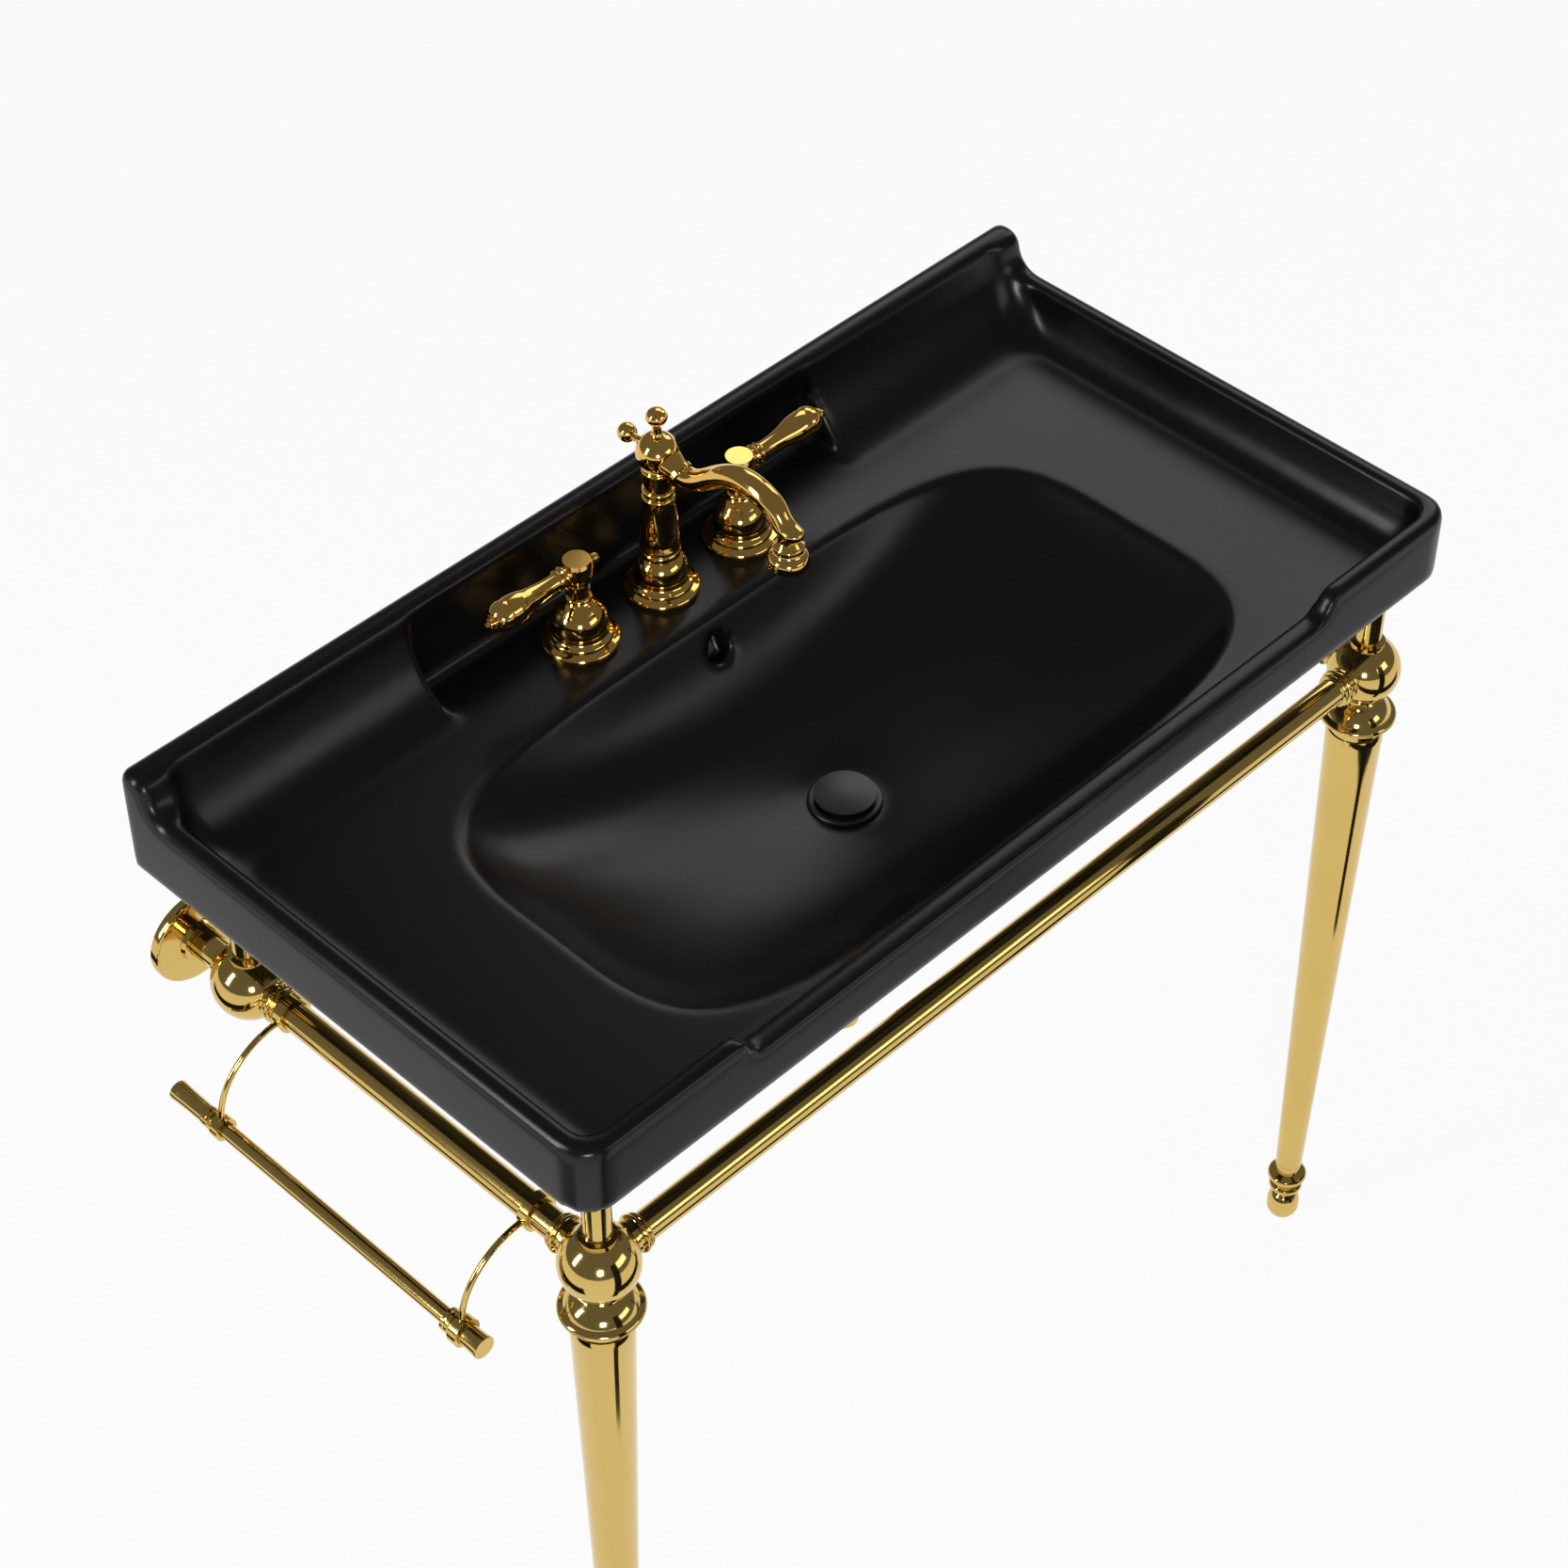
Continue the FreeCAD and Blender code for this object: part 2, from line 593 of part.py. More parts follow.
# The wall of the overflow duct that lies against the bowl: how far down the
# bowl each corner is, and how much of the bowl's reach to the back it keeps.
DUCT_SHARES = ((0.20, 0.92), (0.55, 0.76), (0.78, 0.58), (0.93, 0.34))


def overflow_form(name, width, near_wall, far_wall, top):
    """The duct behind the bowl that takes the overflow down to the drain."""
    reach = DRAIN_Y + " + (drain_back - bowl_back) * %g + %s"
    depth = DECK + " - bowl_h * %g - (%s) * %g"
    near, far = [], []
    for down, along in DUCT_SHARES:
        steep = down ** 4
        near.append((reach % (along, near_wall), depth % (down, near_wall, steep)))
        far.append((reach % (along, far_wall), depth % (down, far_wall, steep)))
    floor = NECK + " + neck_h * 0.75 - (%s)"
    low = [
        (DRAIN_Y + " + drain_hole_r - overrun", NECK + " + neck_h * 0.75"),
        (DRAIN_Y + " + drain_hole_r - overrun", floor % far_wall + " + near_duct"),
        (DRAIN_Y + " + neck_r + near_duct / 2", floor % far_wall + " + near_duct"),
    ]
    roof = [(far[0][0], top), (near[0][0], top)]
    return padded(name, "YZ_Plane", low + far[::-1] + roof + near, width)


# The taps

def make_valve(side, across):
    """The valve under a lever, whose shank goes through the deck."""
    keep(turned(side + "_valve", (
        ("0", "-shank_l - inlet_l"),
        ("inlet_r", "-shank_l - inlet_l"),
        ("inlet_r", "-shank_l"),
        ("shank_r", "-shank_l"),
        ("shank_r", "tap_bell_h * 0.25"),
        ("shank_r * 0.7", "tap_bell_h * 0.25"),
        ("shank_r * 0.7", "tap_bell_h * 0.7"),
        ("spindle_r + running_gap", "tap_bell_h * 0.7"),
        ("spindle_r + running_gap", "-shank_l * 0.3"),
        ("0", "-shank_l * 0.3"),
    ), across, TAP_Y, DECK), side + "_valve")


def make_foot(side, across):
    """The foot of a lever tap: a stepped flange, a bell and a grooved neck."""
    neck = "tap_bell_h + tap_neck_h"
    keep(turned(side + "_tap_foot", (
        ("shank_r + fit_gap", "0"),
        ("tap_base_r", "0"),
        ("tap_base_r", "tap_bell_h * 0.06"),
        ("tap_base_r * 0.955", "tap_bell_h * 0.13", "tap_bell_h * 0.09", OUT),
        ("tap_base_r * 0.83", "tap_bell_h * 0.17"),
        ("tap_base_r * 0.79", "tap_bell_h * 0.25", "tap_bell_h * 0.09", OUT),
        ("tap_base_r * 0.74", "tap_bell_h * 0.27"),
        ("tap_bell_r * 0.97", "tap_bell_h * 0.36", "tap_bell_h * 0.12", IN),
        ("tap_bell_r", "tap_bell_h * 0.52", "tap_bell_h * 0.5", OUT),
        ("tap_bell_r * 0.72", "tap_bell_h * 0.86", "tap_bell_r * 0.95", OUT),
        ("tap_neck_r", "tap_bell_h", "tap_bell_r * 0.9", OUT),
        ("tap_neck_r * 0.9", "tap_bell_h + tap_neck_h * 0.12"),
        ("tap_neck_r", "tap_bell_h + tap_neck_h * 0.2"),
        ("tap_neck_r", "tap_bell_h + tap_neck_h * 0.45", "tap_neck_h * 0.16", OUT),
        ("tap_neck_r * 0.86", "tap_bell_h + tap_neck_h * 0.5"),
        ("tap_neck_r * 0.82", "tap_bell_h + tap_neck_h * 0.78"),
        ("tap_neck_r * 0.9", neck),
        ("spindle_r + free_gap", neck),
        ("spindle_r + free_gap", "tap_bell_h * 0.95"),
        ("shank_r + fit_gap", "tap_bell_h * 0.6"),
    ), across, TAP_Y, DECK), side + "_tap_foot")


def make_hub(side, across, out, back):
    """The hub on the spindle, with the cap of the lever's screw at its back."""
    cup = turned(side + "_cup", (
        ("0", "-tap_bell_h - tap_neck_h + spindle_l * 0.12"),
        ("spindle_r", "-tap_bell_h - tap_neck_h + spindle_l * 0.12"),
        ("spindle_r", "fit_gap"),
        ("tap_neck_r * 0.86", "fit_gap"),
        ("tap_neck_r * 0.8", "tap_hub_h * 0.12"),
        ("tap_hub_r * 0.86", "tap_hub_h * 0.36", "tap_hub_h * 0.5", OUT),
        ("tap_hub_r", "tap_hub_h * 0.66", "tap_hub_h * 0.6", OUT),
        ("tap_hub_r * 0.96", "tap_hub_h * 0.9", "tap_hub_h * 0.5", OUT),
        ("tap_hub_r * 0.88", "tap_hub_h"),
        ("0", "tap_hub_h"),
    ))
    cap = turned(side + "_cap", (
        ("0", "0"),
        ("nub_r * 0.7", "0"),
        ("nub_r * 0.7", "tap_hub_r + nub_l * 0.3"),
        ("nub_r", "tap_hub_r + nub_l * 0.3"),
        ("nub_r", "tap_hub_r + nub_l * 0.6"),
        ("nub_r * 0.6", "tap_hub_r + nub_l", "nub_r * 0.8", OUT),
        ("0", "tap_hub_r + nub_l"),
    ), "0", "0", "tap_hub_h * 0.66", turn=back)
    boss = cylinder(side + "_boss", "lever_root_r", "tap_hub_r + fit_gap", "0", "0", "tap_hub_h * 0.66", turn=out)
    hub = fused(side + "_hub", [cup, cap, boss])
    keep(place(hub, across, TAP_Y, DECK + " + tap_bell_h + tap_neck_h"), side + "_hub")


def make_lever(side, across, out, sign):
    """The lever: double collar, long swelling grip and a ringed tip."""
    keep(turned(side + "_lever", (
        ("0", "0"),
        ("lever_root_r", "0"),
        ("lever_root_r * 1.25", "lever_l * 0.02", "lever_l * 0.04", OUT),
        ("lever_root_r * 1.25", "lever_l * 0.05", "lever_l * 0.02", OUT),
        ("lever_root_r * 0.98", "lever_l * 0.07"),
        ("lever_root_r * 1.2", "lever_l * 0.085"),
        ("lever_root_r * 1.2", "lever_l * 0.11", "lever_l * 0.02", OUT),
        ("lever_root_r", "lever_l * 0.13"),
        ("lever_belly_r * 0.83", "lever_l * 0.5", "lever_l * 1.6", IN),
        ("lever_belly_r", "lever_l * 0.74", "lever_l * 0.6", OUT),
        ("lever_belly_r * 0.62", "lever_l * 0.9", "lever_belly_r * 1.05", OUT),
        ("lever_belly_r * 0.5", "lever_l * 0.905"),
        ("lever_belly_r * 0.5", "lever_l * 0.93", "lever_l * 0.02", OUT),
        ("lever_belly_r * 0.36", "lever_l * 0.935"),
        ("lever_belly_r * 0.36", "lever_l * 0.96", "lever_l * 0.02", OUT),
        ("lever_belly_r * 0.2", "lever_l * 0.965"),
        ("lever_belly_r * 0.12", "lever_l"),
        ("0", "lever_l"),
    ), across + sign + "(tap_hub_r + fit_gap)", TAP_Y, DECK + " + tap_bell_h + tap_neck_h + tap_hub_h * 0.66",
        turn=out), side + "_lever")


def make_spout():
    """The spout: shank, foot, column, ball and the swan-necked tube."""
    bore = "lift_r + running_gap"
    keep(turned("spout_shank", (
        (bore, "-shank_l"),
        ("shank_r", "-shank_l"),
        ("shank_r", "spout_bell_h * 0.5"),
        (bore, "spout_bell_h * 0.5"),
    ), "0", TAP_Y, DECK), "spout_shank")
    keep(turned("spout_foot", (
        ("shank_r + fit_gap", "0"),
        ("spout_base_r", "0"),
        ("spout_base_r", "spout_bell_h * 0.07"),
        ("spout_base_r * 0.955", "spout_bell_h * 0.15", "spout_bell_h * 0.1", OUT),
        ("spout_base_r * 0.83", "spout_bell_h * 0.2"),
        ("spout_base_r * 0.79", "spout_bell_h * 0.29", "spout_bell_h * 0.1", OUT),
        ("spout_base_r * 0.74", "spout_bell_h * 0.31"),
        ("spout_bell_r * 0.97", "spout_bell_h * 0.42", "spout_bell_h * 0.14", IN),
        ("spout_bell_r", "spout_bell_h * 0.66", "spout_bell_h * 0.5", OUT),
        ("column_r * 0.98", "spout_bell_h", "spout_bell_h * 0.5", OUT),
        (bore, "spout_bell_h"),
        (bore, "spout_bell_h * 0.5"),
        ("shank_r + fit_gap", "spout_bell_h * 0.5"),
    ), "0", TAP_Y, DECK), "spout_foot")
    keep(turned("spout_column", (
        (bore, "0"),
        ("column_r * 0.98", "0"),
        ("column_r * 1.06", "column_h * 0.05", "column_h * 0.05", OUT),
        ("column_r * 0.98", "column_h * 0.1", "column_h * 0.05", OUT),
        ("column_r * 1.03", "column_h * 0.16", "column_h * 0.05", OUT),
        ("column_r * 0.95", "column_h * 0.21"),
        ("column_r", "column_h * 0.4", "column_h * 0.4", OUT),
        ("column_top_r", "column_h * 0.8", "column_h * 1.6", OUT),
        ("column_top_r * 1.09", "column_h * 0.84", "column_h * 0.04", OUT),
        ("column_top_r", "column_h * 0.9", "column_h * 0.04", OUT),
        ("column_top_r * 1.06", "column_h * 0.94", "column_h * 0.04", OUT),
        ("column_top_r", "column_h", "column_h * 0.04", OUT),
        (bore, "column_h"),
    ), "0", TAP_Y, DECK + " + spout_bell_h"), "spout_column")

    barrel = turned("hub_barrel", (
        (bore, "-barrel_h - hub_ball_r * 0.92"),
        ("column_top_r * 0.96", "-barrel_h - hub_ball_r * 0.92"),
        ("column_top_r", "-barrel_h * 0.6 - hub_ball_r * 0.92", "barrel_h * 2", OUT),
        ("column_top_r * 0.98", "-barrel_h * 0.16 - hub_ball_r * 0.92"),
        ("column_top_r * 1.1", "-barrel_h * 0.08 - hub_ball_r * 0.92", "barrel_h * 0.08", OUT),
        ("column_top_r", "-hub_ball_r * 0.92", "barrel_h * 0.08", OUT),
        ("hub_ball_r * 0.62", "-hub_ball_r * 0.7", "hub_ball_r * 0.4", IN),
        ("hub_ball_r * 0.62", "hub_ball_r * 0.5"),
        (bore, "hub_ball_r * 0.5"),
    ))
    sphere = ball("hub_sphere", "hub_ball_r")
    neck = turned("hub_neck", (
        ("0", "0"),
        ("lift_r * 2.1", "0"),
        ("lift_r * 2.1", "hub_ball_r * 0.96"),
        ("lift_r * 1.5", "hub_ball_r * 1.12", "hub_ball_r * 0.3", IN),
        ("lift_r * 1.5", "lift_knob_z * 0.72"),
        ("0", "lift_knob_z * 0.72"),
    ))
    dip = Rotation(Vector(1, 0, 0), 90 + mm("spout_dip"))
    way = cylinder("rod_way", bore, "hub_ball_r * 4", "0", "0", "-hub_ball_r * 2")
    screw = cylinder("finial_hole", "lift_r + running_gap", "hub_ball_r + overrun", "0", "hub_ball_r * 0.4", "0",
                     turn=TO_WALL)
    socket = cylinder("spout_hole_in_ball", "spout_root_r * 0.6 + fit_gap", "hub_ball_r + overrun",
                      "0", "-hub_ball_r * 0.4 * cos(spout_dip)", "-hub_ball_r * 0.4 * sin(spout_dip)", turn=dip)
    seat = cylinder("spout_seat", "spout_root_r * 1.4 + fit_gap", "hub_ball_r",
                    "0", "-hub_ball_r * 0.86 * cos(spout_dip)", "-hub_ball_r * 0.86 * sin(spout_dip)", turn=dip)
    whole = fused("hub_whole", [barrel, sphere, neck])
    keep(place(cut("spout_hub", whole, [way, screw, socket, seat]), "0", TAP_Y, HUB_Z), "spout_hub")
    make_rear_knob()
    make_tube()
    make_outlet()


def make_rear_knob():
    keep(turned("rear_knob", (
        ("0", "hub_ball_r * 0.5"),
        ("lift_r", "hub_ball_r * 0.5"),
        ("lift_r", "hub_ball_r"),
        ("lift_r * 2", "hub_ball_r"),
        ("lift_r * 1.3", "hub_ball_r + finial_stem * 0.22", "finial_stem * 0.3", IN),
        ("lift_r * 1.3", "hub_ball_r + finial_stem * 0.4"),
        ("finial_r * 0.62", "hub_ball_r + finial_stem * 0.45"),
        ("finial_r", "hub_ball_r + finial_stem * 0.7", "finial_r * 0.9", OUT),
        ("finial_r * 0.7", "hub_ball_r + finial_stem * 0.98", "finial_r * 0.95", OUT),
        ("finial_r * 0.1", "hub_ball_r + finial_stem * 1.08", "finial_r * 1.1", OUT),
        ("0", "hub_ball_r + finial_stem * 1.08"),
    ), "0", TAP_Y, HUB_Z, turn=TO_WALL), "rear_knob")


# The middle line of the spout's tube from the ball to the outlet, as shares of
# the reach and of the rise, with the swell of the tube against its root.
SPOUT_SHARES = (
    (0, 0, 1.00),
    (0.280, -0.190, 1.00),
    (0.410, 0.250, 1.03),
    (0.540, 0.730, 1.08),
    (0.680, 0.970, 1.14),
    (0.810, 0.880, 1.14),
    (0.910, 0.590, 1.08),
    (0.975, 0.230, 1.02),
    (1, 0, 0.98),
)
SPOUT_RINGS = 16


def make_tube():
    """The tube, lofted through evenly spaced rings square to its middle line."""
    origin = Vector(0, mm(TAP_Y), mm(HUB_Z))
    reach, rise, root = mm("spout_reach"), mm("spout_rise"), mm("spout_root_r")
    dip = Vector(0, -math.cos(math.radians(mm("spout_dip"))), -math.sin(math.radians(mm("spout_dip"))))
    seat = mm("hub_ball_r * 0.86")
    spots = [origin + dip * (seat + root / 4)]
    for out, up, _ in SPOUT_SHARES[1:-1]:
        spots.append(origin + Vector(0, -reach * out, rise * up))
    spots.append(origin + Vector(0, -reach, -mm("outlet_drop")))
    line = Part.BSplineCurve()
    line.interpolate(spots, InitialTangent=dip, FinalTangent=Vector(0, 0, -1))
    start, end = line.FirstParameter, line.LastParameter
    along = [line.length(start, line.parameter(spot)) for spot in spots[:-1]] + [line.length(start, end)]
    swells = [share[2] for share in SPOUT_SHARES]
    rings = []
    for step in range(SPOUT_RINGS + 1):
        far = along[-1] * step / SPOUT_RINGS
        spot = line.value(line.parameterAtDistance(far, start))
        heading = line.tangent(line.parameter(spot))[0]
        rings.append(ring(spot, heading, root * between(far, along, swells)))
    tube = Part.makeLoft(rings, True, False)
    neck = mm("spout_neck_l")
    cone = Part.makeCone(root * 1.4, root * 1.05, neck, origin + dip * seat, dip)
    collar = Part.makeCylinder(root * 1.28, neck / 3, origin + dip * (seat + neck), dip)
    spigot = Part.makeCylinder(root * 0.6, seat - mm("hub_ball_r * 0.5"), origin + dip * mm("hub_ball_r * 0.5"), dip)
    mouth = Part.makeCylinder(mm("spout_tip_r * 0.7"), mm("spout_tip_r + overrun"),
                              spots[-1] - Vector(0, 0, mm("overrun")), Vector(0, 0, 1))
    keep(shaped("spout", cone.fuse(spigot).fuse(tube).fuse(collar).cut(mouth)), "spout")


def between(far, marks, values):
    """The value at a distance, on straight lines between the given marks."""
    for low, high, first, second in zip(marks, marks[1:], values, values[1:]):
        if far <= high:
            return first + (second - first) * (far - low) / (high - low)
    return values[-1]


def ring(centre, along, radius):
    """A circle that faces along the tube, with its seam always on the same side."""
    wire = Part.Wire(Part.Circle(Vector(), Vector(0, 0, 1), radius).toShape())
    wire.Placement = Placement(centre, Rotation(Vector(1, 0, 0), math.degrees(math.atan2(-along.y, along.z))))
    return wire


def make_outlet():
    """The flared bell at the tip of the spout."""
    keep(turned("spout_outlet", (
        ("spout_tip_r * 0.75", "outlet_h * 0.12"),
        ("outlet_r * 0.62", "outlet_h * 0.12"),
        ("outlet_r * 0.86", "0"),
        ("outlet_r * 0.94", "0"),
        ("outlet_r", "outlet_h * 0.14", "outlet_h * 0.14", OUT),
        ("outlet_r * 0.9", "outlet_h * 0.42", "outlet_h * 0.4", OUT),
        ("outlet_r * 0.78", "outlet_h * 0.48"),
        ("outlet_r * 0.66", "outlet_h * 0.66", "outlet_h * 0.22", IN),
        ("outlet_r * 0.74", "outlet_h * 0.72"),
        ("outlet_r * 0.72", "outlet_h * 0.84", "outlet_h * 0.08", OUT),
        ("spout_tip_r", "outlet_h"),
        ("spout_tip_r * 0.75", "outlet_h"),
    ), "0", TAP_Y + " - spout_reach", HUB_Z + " - outlet_drop - outlet_h"), "spout_outlet")


def make_deck_fixings():
    """The washers and lock nuts that hold the three taps under the deck."""
    washers, nuts = [], []
    for name, across in (("left", "-tap_half"), ("middle", "0"), ("right", "tap_half")):
        ring = cylinder(name + "_washer_disc", "washer_r", "washer_t")
        hole = cylinder(name + "_washer_hole", "shank_r + fit_gap", "washer_t + overrun * 2", "0", "0", "-overrun")
        washers.append(place(cut(name + "_washer", ring, [hole]), across, TAP_Y, SLAB + " - washer_t"))
        bar = prism(name + "_nut_bar", "nut_af", "nut_t")
        thread = cylinder(name + "_nut_hole", "shank_r + fit_gap", "nut_t + overrun * 2", "0", "0", "-overrun")
        nuts.append(place(cut(name + "_nut", bar, [thread]), across, TAP_Y, SLAB + " - washer_t - nut_t"))
    keep(group("deck_washers", washers), "deck_washers")
    keep(group("deck_nuts", nuts), "deck_nuts")


# The waste

def make_drain():
    """The pop-up waste: flange and tube, seal, nut, lower body and tailpiece."""
    pipe = turned("drain_pipe", (
        ("waste_bore", "-waste_l"),
        ("waste_r", "-waste_l"),
        ("waste_r", "0"),
        ("flange_r", "0"),
        ("flange_r", "flange_t * 0.5"),
        ("flange_r - flange_t * 0.6", "flange_t", "flange_t * 0.7", OUT),
        ("stopper_r + fit_gap * 2", "flange_t"),
        ("stopper_r + fit_gap * 2", "flange_t * 0.45"),
        ("waste_r", "flange_t * 0.35"),
        ("waste_bore", "-flange_t * 0.5"),
    ))
    slot = block("overflow_slot", "waste_r * 3", "waste_r * 0.5", "neck_h * 0.4",
                 "-waste_r * 1.5", "-waste_r * 0.25", "-neck_h * 0.85")
    cross = block("overflow_slot_across", "waste_r * 0.5", "waste_r * 3", "neck_h * 0.4",
                  "-waste_r * 0.25", "-waste_r * 1.5", "-neck_h * 0.85")
    flange = cut("drain_flange", pipe, [slot, cross])
    keep(place(flange, "0", DRAIN_Y, SEAT), "drain_flange")
    keep(turned("drain_seal", (
        ("waste_r + fit_gap", "-seal_t"),
        ("drain_nut_r * 0.9", "-seal_t"),
        ("drain_nut_r * 0.9", "-seal_t * 0.5"),
        ("drain_hole_r", "0"),
        ("waste_r + fit_gap", "0"),
    ), "0", DRAIN_Y, NECK), "drain_seal")
    ring = prism("drain_nut_bar", "drain_nut_r * 2", "drain_nut_t")
    hole = cylinder("drain_nut_hole", "waste_r + fit_gap", "drain_nut_t + overrun * 2", "0", "0", "-overrun")
    keep(place(cut("drain_nut", ring, [hole]), "0", DRAIN_Y, NECK + " - seal_t - drain_nut_t"), "drain_nut")
    make_drain_body()
    keep(turned("tailpiece", (
        ("tail_r - tail_wall", "-tail_l"),
        ("tail_r", "-tail_l"),
        ("tail_r", "0"),
        ("tail_r - tail_wall / 2", "0"),
        ("tail_r - tail_wall / 2", "body_l * 0.2"),
        ("tail_r - tail_wall", "body_l * 0.2"),
    ), "0", DRAIN_Y, BODY_Z + " - body_l"), "tailpiece")


def make_drain_body():
    """The lower body, with its port for the pivot rod towards the wall."""
    barrel = turned("body_barrel", (
        ("tail_r + fit_gap", "-body_l"),
        ("body_r * 0.88", "-body_l"),
        ("body_r * 0.88", "-body_l * 0.25"),
        ("body_r", "-body_l * 0.2"),
        ("body_r", "0"),
        ("waste_r + fit_gap", "0"),
        ("waste_r + fit_gap", "-body_l * 0.24"),
        ("waste_bore", "-body_l * 0.24"),
        ("waste_bore", "-body_l * 0.78"),
        ("tail_r + fit_gap", "-body_l * 0.78"),
    ))
    port = cylinder("port_boss", "port_r", "body_r + port_l - waste_bore * 1.06", "0", "waste_bore * 1.06",
                    "-body_l * 0.5", turn=TO_WALL)
    way = cylinder("port_way", "pivot_ball_r + running_gap", "body_r + port_l + overrun", "0", "0",
                   "-body_l * 0.5", turn=TO_WALL)
    body = cut("drain_body", fused("body_and_port", [barrel, port]), [way])
    keep(place(body, "0", DRAIN_Y, BODY_Z), "drain_body")
    lip = "pivot_ball_r * 0.85"
    seat = "body_r + port_l - pivot_back - " + lip
    keep(turned("port_nut", (
        ("pivot_ball_r * sqrt(1 - 0.85 * 0.85) + fit_gap", "0"),
        ("pivot_ball_r * 0.96", "0"),
        ("pivot_ball_r * 0.96", seat),
        ("port_r * 1.1", seat),
        ("port_r * 1.1", "port_nut_l"),
        ("pivot_rod_r + free_gap * 4.5", "port_nut_l"),
    ), "0", DRAIN_Y + " + pivot_back + " + lip, BODY_Z + " - body_l * 0.5", turn=TO_WALL), "port_nut")


def make_stopper():
    """The stopper, open: crowned cap, stem and the flat eye that the pivot rod moves."""
    eye = "-(waste_l - body_grip + body_l * 0.5 + stopper_rise)"
    cap = turned("stopper_cap", (
        ("0", "flange_t - stopper_t"),
        ("waste_bore - fit_gap", "flange_t - stopper_t"),
        ("waste_bore - fit_gap", "flange_t * 0.55"),
        ("stopper_r", "flange_t * 0.55"),
        ("stopper_r", "flange_t"),
        ("stem_r * 0.2", "flange_t + stopper_crown", "stopper_r * 8", OUT),
        ("0", "flange_t + stopper_crown"),
    ))
    stem = cylinder("stopper_stem", "stem_r", "flange_t - stopper_t / 2 - (%s)" % eye, "0", "0", eye)
    tab = block("stopper_tab", "stem_r * 4", "stem_tab_t", "stem_r * 5", "-stem_r * 2", "-stem_tab_t / 2",
                eye + " - stem_r * 2.5")
    hole = cylinder("stopper_eye", "pivot_rod_r + free_gap", "stem_r * 4", "0", "-stem_r * 2", eye, turn=TO_WALL)
    flats = [block(name, "stem_r * 4", "stem_r * 2", "stem_r * 5", "-stem_r * 2", back, eye + " - stem_r * 2.5")
             for name, back in (("eye_front", "-stem_tab_t / 2 - stem_r * 2"), ("eye_back", "stem_tab_t / 2"))]
    stopper = cut("stopper", fused("stopper_whole", [cap, stem, tab]), [hole] + flats)
    keep(place(stopper, "0", DRAIN_Y, SEAT + " + stopper_rise"), "stopper")


def make_pivot():
    """The pivot rod, whose ball turns in the port of the drain body."""
    rod = cylinder("pivot_wire", "pivot_rod_r", "pivot_back + pivot_arm + pivot_end + stem_r * 1.5", "0",
                   "-pivot_back - stem_r * 1.5", "0", turn=TO_WALL)
    pivot = fused("pivot_rod", [rod, ball("pivot_ball", "pivot_ball_r")])
    keep(place(pivot, "0", DRAIN_Y + " + pivot_back", BODY_Z + " - body_l * 0.5"), "pivot_rod")


def make_lift():
    """The lift rod with its knob, and the strap that hangs from it."""
    keep(turned("lift_rod", (
        ("0", DECK + " - lift_below - (%s)" % HUB_Z),
        ("lift_r", DECK + " - lift_below - (%s)" % HUB_Z),
        ("lift_r", "lift_knob_z - lift_knob_r * 0.75"),
        ("lift_knob_r * 0.6", "lift_knob_z - lift_knob_r * 0.62"),
        ("lift_knob_r", "lift_knob_z", "lift_knob_r * 0.85", OUT),
        ("lift_knob_r * 0.72", "lift_knob_z + lift_knob_r * 0.6", "lift_knob_r * 0.9", OUT),
        ("lift_knob_r * 0.1", "lift_knob_z + lift_knob_r * 0.8", "lift_knob_r * 1.4", OUT),
        ("0", "lift_knob_z + lift_knob_r * 0.8"),
    ), "0", TAP_Y, HUB_Z), "lift_rod")
    low = DECK + " - lift_below"
    far = DRAIN_Y + " + pivot_back + pivot_arm"
    rod_y = BODY_Z + " - body_l * 0.5"
    clamp = TAP_Y + " - lift_r - fit_gap"
    half = "strap_t / 2"
    band = padded("strap_band", "YZ_Plane", (
        (clamp, low),
        (clamp, low + " + strap_w * 1.6"),
        (clamp + " - strap_t", low + " + strap_w * 1.6"),
        (clamp + " - strap_t", low + " + strap_t"),
        (far + " - " + half, rod_y + " + strap_w * 1.2"),
        (far + " - " + half, rod_y + " - strap_tail"),
        (far + " + " + half, rod_y + " - strap_tail"),
        (far + " + " + half, rod_y + " + strap_w * 1.2 - strap_t"),
    ), "strap_w")
    eye = cylinder("strap_eye", "pivot_rod_r + free_gap", "strap_t * 6", "0", far + " - strap_t * 3", rod_y, turn=TO_WALL)
    keep(cut("lift_strap", band, [eye]), "lift_strap")
    make_strap_screw(low, clamp)


def make_strap_screw(low, clamp):
    """The clamp block and thumb screw that fix the strap on the lift rod."""
    bodyblock = block("clamp_block", "strap_w", "lift_r * 4", "strap_w", "-strap_w / 2", clamp, low + " + strap_w * 0.3")
    rod = cylinder("clamp_hole", "lift_r + running_gap", "strap_w * 3", "0", TAP_Y, low)
    keep(cut("strap_clamp", bodyblock, [rod]), "strap_clamp")
    keep(turned("strap_screw", (
        ("0", "0"),
        ("strap_w * 0.42", "0"),
        ("strap_w * 0.42", "strap_w * 0.4"),
        ("lift_r * 0.8", "strap_w * 0.4"),
        ("lift_r * 0.8", "strap_w * 0.6"),
        ("0", "strap_w * 0.6"),
    ), "0", clamp + " + lift_r * 4 + strap_w * 0.6", low + " + strap_w * 0.8", turn=TO_FRONT), "strap_screw")


# The stand

